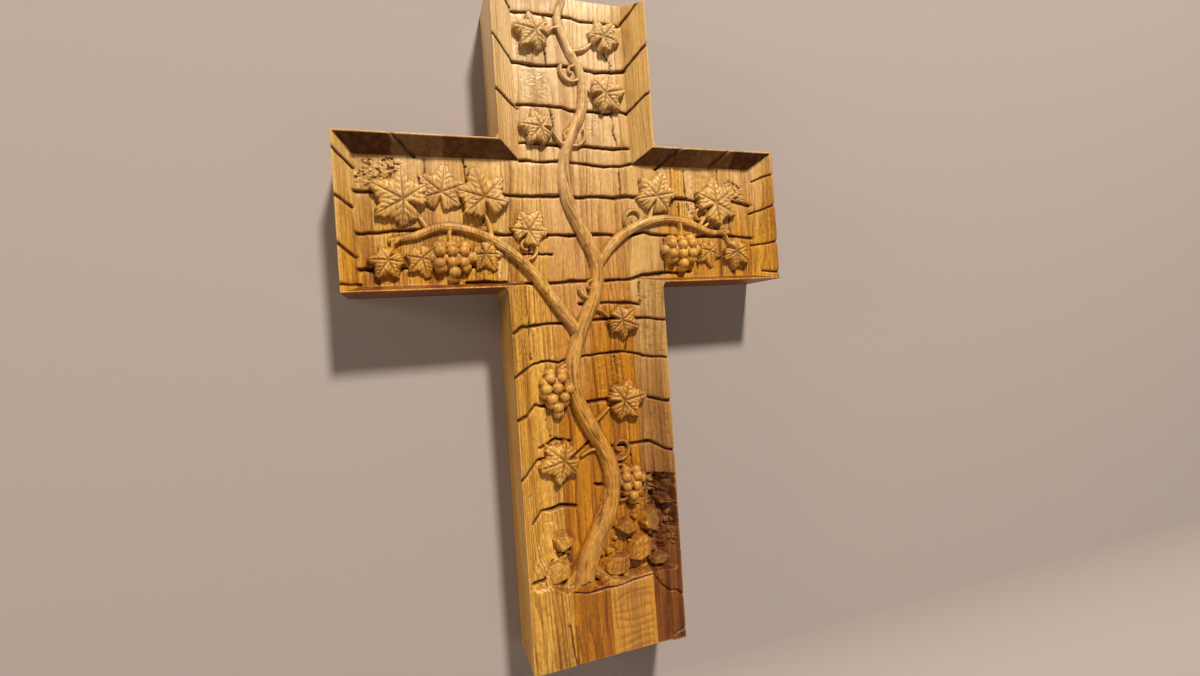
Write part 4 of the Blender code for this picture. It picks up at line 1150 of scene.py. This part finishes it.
def upper_wood_and_sheen_group():
    """How far the paler upper wood of a stave has passed into its lower wood, in long tongues, and where the
    cut runs across the fibres and shows darker end grain. The paler upper wood is partly the wood's own tone
    and partly painted sheen near the top."""
    group, given, out = tree_of(
        "upper_wood_and_sheen", {"Level": ("NodeSocketFloat", -0.15), "Spread": ("NodeSocketFloat", 0.09)},
        {"Lower": "NodeSocketFloat", "End grain": "NodeSocketFloat"})
    place = add(group, "ShaderNodeTexCoord").outputs["Object"]
    height = add(group, "ShaderNodeSeparateXYZ", {"Vector": place}).outputs["Z"]
    tongues = streaks(group, place, 0.10, 90.0, 3.0)
    height = maths(group, "MULTIPLY_ADD", maths(group, "SUBTRACT", tongues, 0.5), 0.16, height)
    below = maths(group, "SUBTRACT", given.outputs["Level"], height)
    below = maths(group, "DIVIDE", below, given.outputs["Spread"])
    group.links.new(maths(group, "ADD", below, 0.5, clamp=True), out.inputs["Lower"])
    facing = add(group, "ShaderNodeNewGeometry").outputs["Normal"]
    across = maths(group, "ABSOLUTE", add(group, "ShaderNodeSeparateXYZ", {"Vector": facing}).outputs["Z"])
    group.links.new(ramp(group, across, (0.62, 0.0), (0.95, 1.0)), out.inputs["End grain"])
    return group


def carved_finish_group():
    """Dark oil caught in the cuts and painted shade where the front is marked dark, and paler wood where
    hands and cloth have polished the high places.
    """
    group, given, out = tree_of(
        "carved_finish",
        {"Color": ("NodeSocketColor", (0.5, 0.3, 0.1, 1.0)),
         "Dark": ("NodeSocketColor", (0.058, 0.0145, 0.0022, 1.0)),
         "Pale": ("NodeSocketColor", (0.78, 0.49, 0.14, 1.0)), "Amount": ("NodeSocketFloat", 0.30)},
        {"Color": "NodeSocketColor", "Stain and shade": "NodeSocketFloat", "Polish": "NodeSocketFloat"},
    )
    stain_and_shade = add(group, "ShaderNodeAttribute", attribute_name="stain_and_shade").outputs["Fac"]
    worn = add(group, "ShaderNodeAttribute", attribute_name="polish").outputs["Fac"]
    place = add(group, "ShaderNodeTexCoord").outputs["Object"]
    uneven = plain_noise(group, place, 300.0, 3.0)
    patchy = maths(group, "MULTIPLY", worn, maths(group, "MULTIPLY_ADD", uneven, 0.8, 0.6), clamp=True)
    lift = times(group, patchy, given.outputs["Amount"])
    lifted = blend(group, "MIX", lift, given.outputs["Color"], given.outputs["Pale"])
    sunk = maths(group, "MULTIPLY", stain_and_shade, maths(group, "MULTIPLY_ADD", uneven, 0.5, 0.75), clamp=True)
    group.links.new(blend(group, "MIX", sunk, lifted, given.outputs["Dark"]), out.inputs["Color"])
    group.links.new(sunk, out.inputs["Stain and shade"])
    group.links.new(patchy, out.inputs["Polish"])
    return group


def oak(name, tones, passing, stave, groups):
    """Oiled oak in one stave's own tones, with its own part of the tree's rings."""
    grain, heart, finish = groups
    material = bpy.data.materials.new(name)
    material.use_nodes = True
    tree = material.node_tree
    shader = tree.nodes["Principled BSDF"]
    wood = add(tree, "ShaderNodeGroup", node_tree=grain)
    wood.inputs["Stave"].default_value = stave
    wood.inputs["Ring width"].default_value = RING_WIDTHS[0] + RING_WIDTHS[1] * (stave * 1.7 % 1.0)
    wood.inputs["Drift"].default_value = RING_DRIFTS[0] + RING_DRIFTS[1] * (stave * 2.3 % 1.0)
    change = add(tree, "ShaderNodeGroup", node_tree=heart)
    change.inputs["Level"].default_value, change.inputs["Spread"].default_value = passing
    colour = blend(tree, "MIX", change.outputs["Lower"], *tones)
    # The wood's figure shows more strongly where it is darker, and is muted on the upper wood, where painted
    # sheen stands for the lamp's glare.
    figure = maths(tree, "MULTIPLY_ADD", change.outputs["Lower"], 0.42, 0.44)
    colour = blend(tree, "MULTIPLY", figure, colour, wood.outputs["Bands"])
    colour = blend(tree, "MULTIPLY", times(tree, wood.outputs["Rings"], figure), colour, RING_TONE)
    colour = blend(tree, "MULTIPLY", figure, colour, wood.outputs["Fibres"])
    pores = times(tree, wood.outputs["Pores"], times(tree, figure, 0.7))
    colour = blend(tree, "MIX", pores, colour, PORE_TONE)
    colour = blend(tree, "MULTIPLY", change.outputs["End grain"], colour, END_GRAIN_TONE)
    worked = add(tree, "ShaderNodeGroup", node_tree=finish)
    tree.links.new(colour, worked.inputs["Color"])
    tree.links.new(worked.outputs["Color"], shader.inputs["Base Color"])
    rough = maths(tree, "MULTIPLY_ADD", worked.outputs["Polish"], -0.05, 0.50)
    rough = maths(tree, "MULTIPLY_ADD", worked.outputs["Stain and shade"], 0.3, rough)
    tree.links.new(rough, shader.inputs["Roughness"])
    relief = {"Height": wood.outputs["Height"], "Strength": 0.55, "Distance": 0.00022}
    tree.links.new(add(tree, "ShaderNodeBump", relief).outputs["Normal"], shader.inputs["Normal"])
    sheen = maths(tree, "MULTIPLY_ADD", worked.outputs["Stain and shade"], -0.28, 0.29)
    tree.links.new(sheen, shader.inputs["Coat Weight"])
    shader.inputs["Coat Roughness"].default_value = 0.34
    shader.inputs["Specular IOR Level"].default_value = 0.24
    return material


def build_staves():
    """The ten staves, each with its share of the carving and its own oak."""
    grain, heart, finish = oak_grain_group(), upper_wood_and_sheen_group(), carved_finish_group()
    cutters = hanger_cutters()
    for number, (name, left, right, upper, lower, change, spread, stave) in enumerate(STAVES, 1):
        carries_hanger = left >= HANGER_SPAN[0] and right <= HANGER_SPAN[1]
        mesh = stave_mesh(f"carved_{name}", left, right, cutters if carries_hanger else [])
        passing = ((change - DRAWING_TO_HANG_POINT) * MM, spread * MM)
        mesh.materials.append(oak(f"oak_{name}", (upper, lower), passing, stave, (grain, heart, finish)))
        piece = bpy.data.objects.new(f"carved_{name}", mesh)
        bpy.context.scene.collection.objects.link(piece)
        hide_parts(name)
        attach(piece, "root")
    for cutter in cutters:
        bpy.data.objects.remove(cutter, do_unlink=True)


def zinc(name, colour, roughness):
    """Bright zinc plating: faint spangle, brushing and a few dull spots."""
    material = bpy.data.materials.new(name)
    material.use_nodes = True
    tree = material.node_tree
    shader = tree.nodes["Principled BSDF"]
    place = add(tree, "ShaderNodeTexCoord").outputs["Object"]
    spangle = add(tree, "ShaderNodeTexVoronoi", {"Vector": place, "Scale": 420.0}).outputs["Color"]
    dull = plain_noise(tree, place, 160.0, 4.0)
    brushed = add(tree, "ShaderNodeMapping", {"Vector": place, "Scale": (40.0, 900.0, 900.0)}).outputs[0]
    brushed = plain_noise(tree, brushed, 3.0, 2.0)
    tinted = blend(tree, "MIX", 0.10, colour, spangle)
    spots = ramp(tree, dull, (0.35, (0.62, 0.62, 0.60)), (0.6, (1.0, 1.0, 1.0)))
    tree.links.new(blend(tree, "MULTIPLY", 0.6, tinted, spots), shader.inputs["Base Color"])
    tree.links.new(maths(tree, "MULTIPLY_ADD", dull, 0.25, roughness), shader.inputs["Roughness"])
    shader.inputs["Metallic"].default_value = 1.0
    bump = add(tree, "ShaderNodeBump", {"Height": brushed, "Strength": 0.3, "Distance": 0.00005})
    tree.links.new(bump.outputs["Normal"], shader.inputs["Normal"])
    return material


def ring(radius, x, z, count=48):
    """A round outline in the frame's X and Z, in mm."""
    turns = np.linspace(0.0, math.tau, count, endpoint=False)
    return [(x + radius * math.cos(a), z + radius * math.sin(a)) for a in turns]


def evaluated_mesh(obj):
    """The object's mesh with its modifiers done, as a plain mesh."""
    bpy.context.view_layer.update()
    return bpy.data.meshes.new_from_object(obj.evaluated_get(bpy.context.evaluated_depsgraph_get()))


def cut_out(block, cutters):
    """Takes the cutters' shapes out of a block."""
    for cutter in cutters:
        cut = block.modifiers.new("cut_out", "BOOLEAN")
        cut.operation = "DIFFERENCE"
        cut.solver = "EXACT"
        cut.object = cutter


def press_plate():
    """The hanger plate, pressed from sheet: rounded rim, keyhole with a rolled lip, dished screw holes."""
    half, tall, soft = PLATE_LENGTH / 2, PLATE_HEIGHT / 2, PLATE_SOFTENING
    plate = cast("pressed_keyhole_plate", [
        (stadium(half - out, tall - out, PLATE_MIDDLE), y)
        for out, y in ((soft, 0.0), (0.3 * soft, -0.3 * soft), (0.0, -soft), (0.0, -PLATE_THICKNESS))])
    slot = SLOT_WIDTH / 2
    lip = ((soft, 0.01), (0.3 * soft, -0.3 * soft), (0.0, -soft), (0.0, -PLATE_THICKNESS - 0.1))
    slot_rings = [
        (stadium((slot + out - HOLE_MIDDLE + slot + out) / 2, slot + out, HOLE_MIDDLE / 2, True), y)
        for out, y in lip]
    tools = [cast("hole", [(ring(HOLE_RADIUS + out, 0.0, HOLE_MIDDLE), y) for out, y in lip]),
             cast("slot", slot_rings)]
    for side in (-1, 1):
        dish = ((SCREW_HEAD + 0.30, 0.01), (SCREW_HEAD + 0.08, -0.12),
                (SCREW_SHANK + 0.15, -1.85), (SCREW_SHANK + 0.15, -2.1))
        tools.append(cast("dish", [(ring(radius, side * SCREW_OUT, PLATE_MIDDLE), y) for radius, y in dish]))
    cut_out(plate, tools)
    mesh = evaluated_mesh(plate)
    for spare in (plate, *tools):
        bpy.data.objects.remove(spare, do_unlink=True)
    mesh.name = "pressed_keyhole_plate"
    return mesh


def joined_geometry(tree, *parts):
    node = tree.nodes.new("GeometryNodeJoinGeometry")
    for part in parts:
        tree.links.new(part, node.inputs[0])
    return node.outputs[0]


def moved_geometry(tree, part, along, turned=(0.0, 0.0, 0.0)):
    inputs = {"Geometry": part, "Translation": along, "Rotation": turned}
    return add(tree, "GeometryNodeTransform", inputs).outputs[0]


def down_shank(tree, distance):
    """A vector that runs from the screw's head towards its point."""
    return add(tree, "ShaderNodeCombineXYZ", {"Z": times(tree, distance, -1.0)}).outputs[0]


def turned_cone(tree, vertices, top, bottom, depth):
    inputs = {"Vertices": vertices, "Radius Top": top, "Radius Bottom": bottom, "Depth": depth}
    return add(tree, "GeometryNodeMeshCone", inputs).outputs["Mesh"]


def wire_circle(tree, resolution, radius):
    inputs = {"Resolution": resolution, "Radius": radius}
    return add(tree, "GeometryNodeCurvePrimitiveCircle", inputs).outputs["Curve"]


def screw_head(tree, head, shank):
    """The countersunk head with its cross recess."""
    drop = maths(tree, "SUBTRACT", head, shank)
    cone = moved_geometry(tree, turned_cone(tree, 40, head, shank, drop), down_shank(tree, drop))
    bar = add(tree, "GeometryNodeMeshCube", {"Size": RECESS_BAR}).outputs["Mesh"]
    cut = add(tree, "GeometryNodeMeshBoolean", {"Mesh 1": cone}, operation="DIFFERENCE")
    cross = [moved_geometry(tree, bar, (0.0, 0.0, 0.0), (0.0, 0.0, turn)) for turn in (0.0, math.pi / 2)]
    for arm in cross:
        tree.links.new(arm, cut.inputs["Mesh 2"])
    return cut.outputs["Mesh"]


def screw_thread(tree, core, shank, length, turns):
    """One turn of wire, repeated down the shank."""
    wire = wire_circle(tree, 6, times(tree, shank, 0.2))
    turn = {"Curve": wire_circle(tree, 24, core), "Profile Curve": wire}
    turn = add(tree, "GeometryNodeCurveToMesh", turn)
    pitch = maths(tree, "DIVIDE", times(tree, length, 0.62), turns)
    row = add(tree, "GeometryNodeMeshLine", {
        "Count": turns, "Start Location": down_shank(tree, times(tree, length, 0.2)),
        "Offset": down_shank(tree, pitch)}).outputs["Mesh"]
    inputs = {"Points": row, "Instance": turn.outputs["Mesh"], "Rotation": THREAD_LEAN}
    return add(tree, "GeometryNodeInstanceOnPoints", inputs).outputs["Instances"]


def screw_tree():
    """A countersunk screw with a cross recess. Its head's face is at the middle of its place, and it points
    into the wood."""
    tree = bpy.data.node_groups.new("cross_head_screw", "GeometryNodeTree")
    for label, kind, value in SCREW_SIZES:
        tree.interface.new_socket(label, in_out="INPUT", socket_type=kind).default_value = value
    tree.interface.new_socket("Material", in_out="INPUT", socket_type="NodeSocketMaterial")
    tree.interface.new_socket("Geometry", in_out="OUTPUT", socket_type="NodeSocketGeometry")
    given = tree.nodes.new("NodeGroupInput").outputs
    head, shank, length = given["Head radius"], given["Shank radius"], given["Length"]
    core = times(tree, shank, 0.78)
    body = turned_cone(tree, 20, core, core, times(tree, length, 0.72))
    body = moved_geometry(tree, body, down_shank(tree, times(tree, length, 0.84)))
    point = turned_cone(tree, 20, core, SCREW_TIP, times(tree, length, 0.17))
    point = moved_geometry(tree, point, down_shank(tree, times(tree, length, 0.995)))
    thread = screw_thread(tree, core, shank, length, given["Turns"])
    whole = joined_geometry(tree, screw_head(tree, head, shank), body, point, thread)
    spun = add(tree, "ShaderNodeCombineXYZ", {"Z": given["Turned"]}).outputs[0]
    whole = moved_geometry(tree, whole, (0.0, 0.0, 0.0), spun)
    whole = moved_geometry(tree, whole, given["Place"], (-math.pi / 2, 0.0, 0.0))
    whole = add(tree, "GeometryNodeRealizeInstances", {"Geometry": whole}).outputs[0]
    finished = add(tree, "GeometryNodeSetMaterial", {"Geometry": whole, "Material": given["Material"]})
    tree.links.new(finished.outputs[0], tree.nodes.new("NodeGroupOutput").inputs["Geometry"])
    return tree


def turn_screw(name, tree, side, turned, material):
    """One screw as a plain mesh in its place."""
    blank = bpy.data.objects.new(name, bpy.data.meshes.new(name))
    bpy.context.scene.collection.objects.link(blank)
    nodes = blank.modifiers.new("screw", "NODES")
    nodes.node_group = tree
    place = (side * SCREW_OUT * MM, -HEAD_SUNK, PLATE_MIDDLE * MM)
    values = {"Place": place, "Turned": turned, "Material": material}
    for socket in tree.interface.items_tree:
        if socket.name in values:
            nodes[socket.identifier] = values[socket.name]
    soften = blank.modifiers.new("soften", "BEVEL")
    soften.width = SCREW_SOFTENING
    soften.segments = 2
    soften.limit_method = "ANGLE"
    soften.angle_limit = math.radians(35)
    mesh = evaluated_mesh(blank)
    bpy.data.objects.remove(blank, do_unlink=True)
    mesh.name = name
    return mesh


def fit_hanger():
    """The plate and its two screws, each smooth where it is round."""
    plated = zinc("zinc_plate", WHITE_ZINC, 0.34)
    yellowed = zinc("zinc_screw", YELLOW_ZINC, 0.26)
    tree = screw_tree()
    plate = press_plate()
    plate.materials.append(plated)
    fitted = [(plate, "pressed_keyhole_plate", "keyhole_plate", "zinc_plate")]
    for node, side, turned in (("hanger_screw_left", -1, 0.35), ("hanger_screw_right", 1, 1.2)):
        name = f"turned_{node}"
        fitted.append((turn_screw(name, tree, side, turned, yellowed), name, node, "zinc_screw"))
    for mesh, name, node, finish in fitted:
        for face in mesh.polygons:
            face.use_smooth = abs(face.normal.y) < 0.99
        mesh.set_sharp_from_angle(angle=math.radians(32))
        piece = bpy.data.objects.new(name, mesh)
        bpy.context.scene.collection.objects.link(piece)
        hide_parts(node)
        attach(piece, "root")


# The camera stands low on the left of the cross and leans a little: its place on the drawing, its turns in
# degrees and its lens.
CAMERA_PLACE = (-106.2, -320.7, -120.4)
CAMERA_TURNS = (0.16, -19.02, -3.88)
CAMERA_LENS = 16.46


def set_camera():
    """The camera at its place on the drawing, turned about its own three axes."""
    pitch, yaw, roll = (math.radians(angle) for angle in CAMERA_TURNS)
    seen = Matrix.Rotation(roll, 3, "Z") @ Matrix.Rotation(yaw, 3, "Y") @ Matrix.Rotation(pitch, 3, "X")
    right, down, ahead = (Vector((row.x, row.z, -row.y)) for row in seen)
    x, depth, z = CAMERA_PLACE
    camera = bpy.data.cameras.new("camera")
    camera.lens = CAMERA_LENS
    camera.sensor_width = 36.0
    camera.clip_start = 0.01
    holder = bpy.data.objects.new("camera", camera)
    turned = Matrix((right, -down, -ahead)).transposed().to_4x4()
    turned.translation = to_frame(x, depth, z)
    holder.matrix_world = turned
    bpy.context.scene.collection.objects.link(holder)
    bpy.context.scene.camera = holder


# Each light: name, place, width, power in watts and colour. All look at the cross's middle.
CROSS_MIDDLE = (0.0, 0.0, -0.15)
LIGHTS = (
    ("key", (0.476, -1.99, 2.10), 0.33, 132.0, (1.0, 0.89, 0.755)),
    ("fill", (-1.80, -0.50, 0.28), 0.5, 9.5, (1.0, 0.86, 0.70)),
    ("behind", (0.55, 1.5, 0.7), 0.6, 22.0, (1.0, 0.92, 0.84)),
)
ROOM_TONE = (0.80, 0.73, 0.68, 1.0)
ROOM_STRENGTH = 0.036
PAINT_TONE = (0.385, 0.347, 0.337, 1.0)


def area_light(name, place, size, power, colour):
    """A round lamp that looks at the cross's middle."""
    light = bpy.data.lights.new(name, "AREA")
    light.shape = "DISK"
    light.size = size
    light.energy = power
    light.color = colour
    holder = bpy.data.objects.new(name, light)
    holder.location = place
    holder.rotation_euler = (Vector(CROSS_MIDDLE) - Vector(place)).to_track_quat("-Z", "Y").to_euler()
    bpy.context.scene.collection.objects.link(holder)


# The backdrop, in metres: the gap behind the cross, how far the wall reaches in behind the cross's rim, the
# floor's height, the radius of the sweep and half the width.
WALL_GAP = 0.0004
BEHIND_RIM = 0.0008
FLOOR = -0.52
SWEEP = 0.10
WIDE = 6.0


def pale_backdrop():
    """A pale wall right behind the cross, open where the cross covers it, that sweeps out into a floor."""
    half_width, half_span = HALF_WIDTH * MM - BEHIND_RIM, HALF_SPAN * MM - BEHIND_RIM
    levels = ((HEAD, -1), (0.0, -1), (ARM_FOOT, 1), (BOTTOM, 1))
    levels = [(z - DRAWING_TO_HANG_POINT) * MM + inwards * BEHIND_RIM for z, inwards in levels]
    xs = (-WIDE, -half_span, -half_width, half_width, half_span, WIDE)
    profile = [(WALL_GAP, z) for z in (WIDE, *levels, FLOOR + SWEEP)]
    for a in np.linspace(0.1, math.pi / 2, 12):
        profile.append((WALL_GAP - SWEEP + SWEEP * math.cos(a), FLOOR + SWEEP - SWEEP * math.sin(a)))
    profile.append((-WIDE, FLOOR))
    covered = {(2, 1), (2, 2), (2, 3), (1, 2), (3, 2)}
    bm = bmesh.new()
    rows = [[bm.verts.new((x, y, z)) for y, z in profile] for x in xs]
    for column, (here, beside) in enumerate(zip(rows, rows[1:])):
        for i in range(len(profile) - 1):
            if (column, i) not in covered:
                face = bm.faces.new((here[i], here[i + 1], beside[i + 1], beside[i]))
                face.smooth = i > 4
    mesh = bpy.data.meshes.new("pale_backdrop")
    bm.to_mesh(mesh)
    bm.free()
    return mesh


def pale_paint():
    """Matt warm-grey paint, clear from behind so that the cross's back can be looked at."""
    paint = bpy.data.materials.new("pale_paint")
    paint.use_nodes = True
    tree = paint.node_tree
    shader = tree.nodes["Principled BSDF"]
    shader.inputs["Base Color"].default_value = PAINT_TONE
    shader.inputs["Roughness"].default_value = 0.9
    shader.inputs["Specular IOR Level"].default_value = 0.2
    clear = add(tree, "ShaderNodeBsdfTransparent")
    behind = add(tree, "ShaderNodeNewGeometry").outputs["Backfacing"]
    mix = add(tree, "ShaderNodeMixShader", {0: behind, 1: shader.outputs[0], 2: clear.outputs[0]})
    tree.links.new(mix.outputs[0], tree.nodes["Material Output"].inputs["Surface"])
    return paint


def set_stage():
    """What stands round the cross: wall and floor, three lights and the room's own dim light."""
    stage = bpy.data.objects.new("pale_backdrop", pale_backdrop())
    stage.data.materials.append(pale_paint())
    bpy.context.scene.collection.objects.link(stage)
    for light in LIGHTS:
        area_light(*light)
    world = bpy.data.worlds.new("room")
    bpy.context.scene.world = world
    world.use_nodes = True
    background = world.node_tree.nodes["Background"]
    background.inputs["Color"].default_value = ROOM_TONE
    background.inputs["Strength"].default_value = ROOM_STRENGTH
    bpy.context.scene.view_settings.view_transform = "Standard"


build_staves()
fit_hanger()
set_camera()
set_stage()
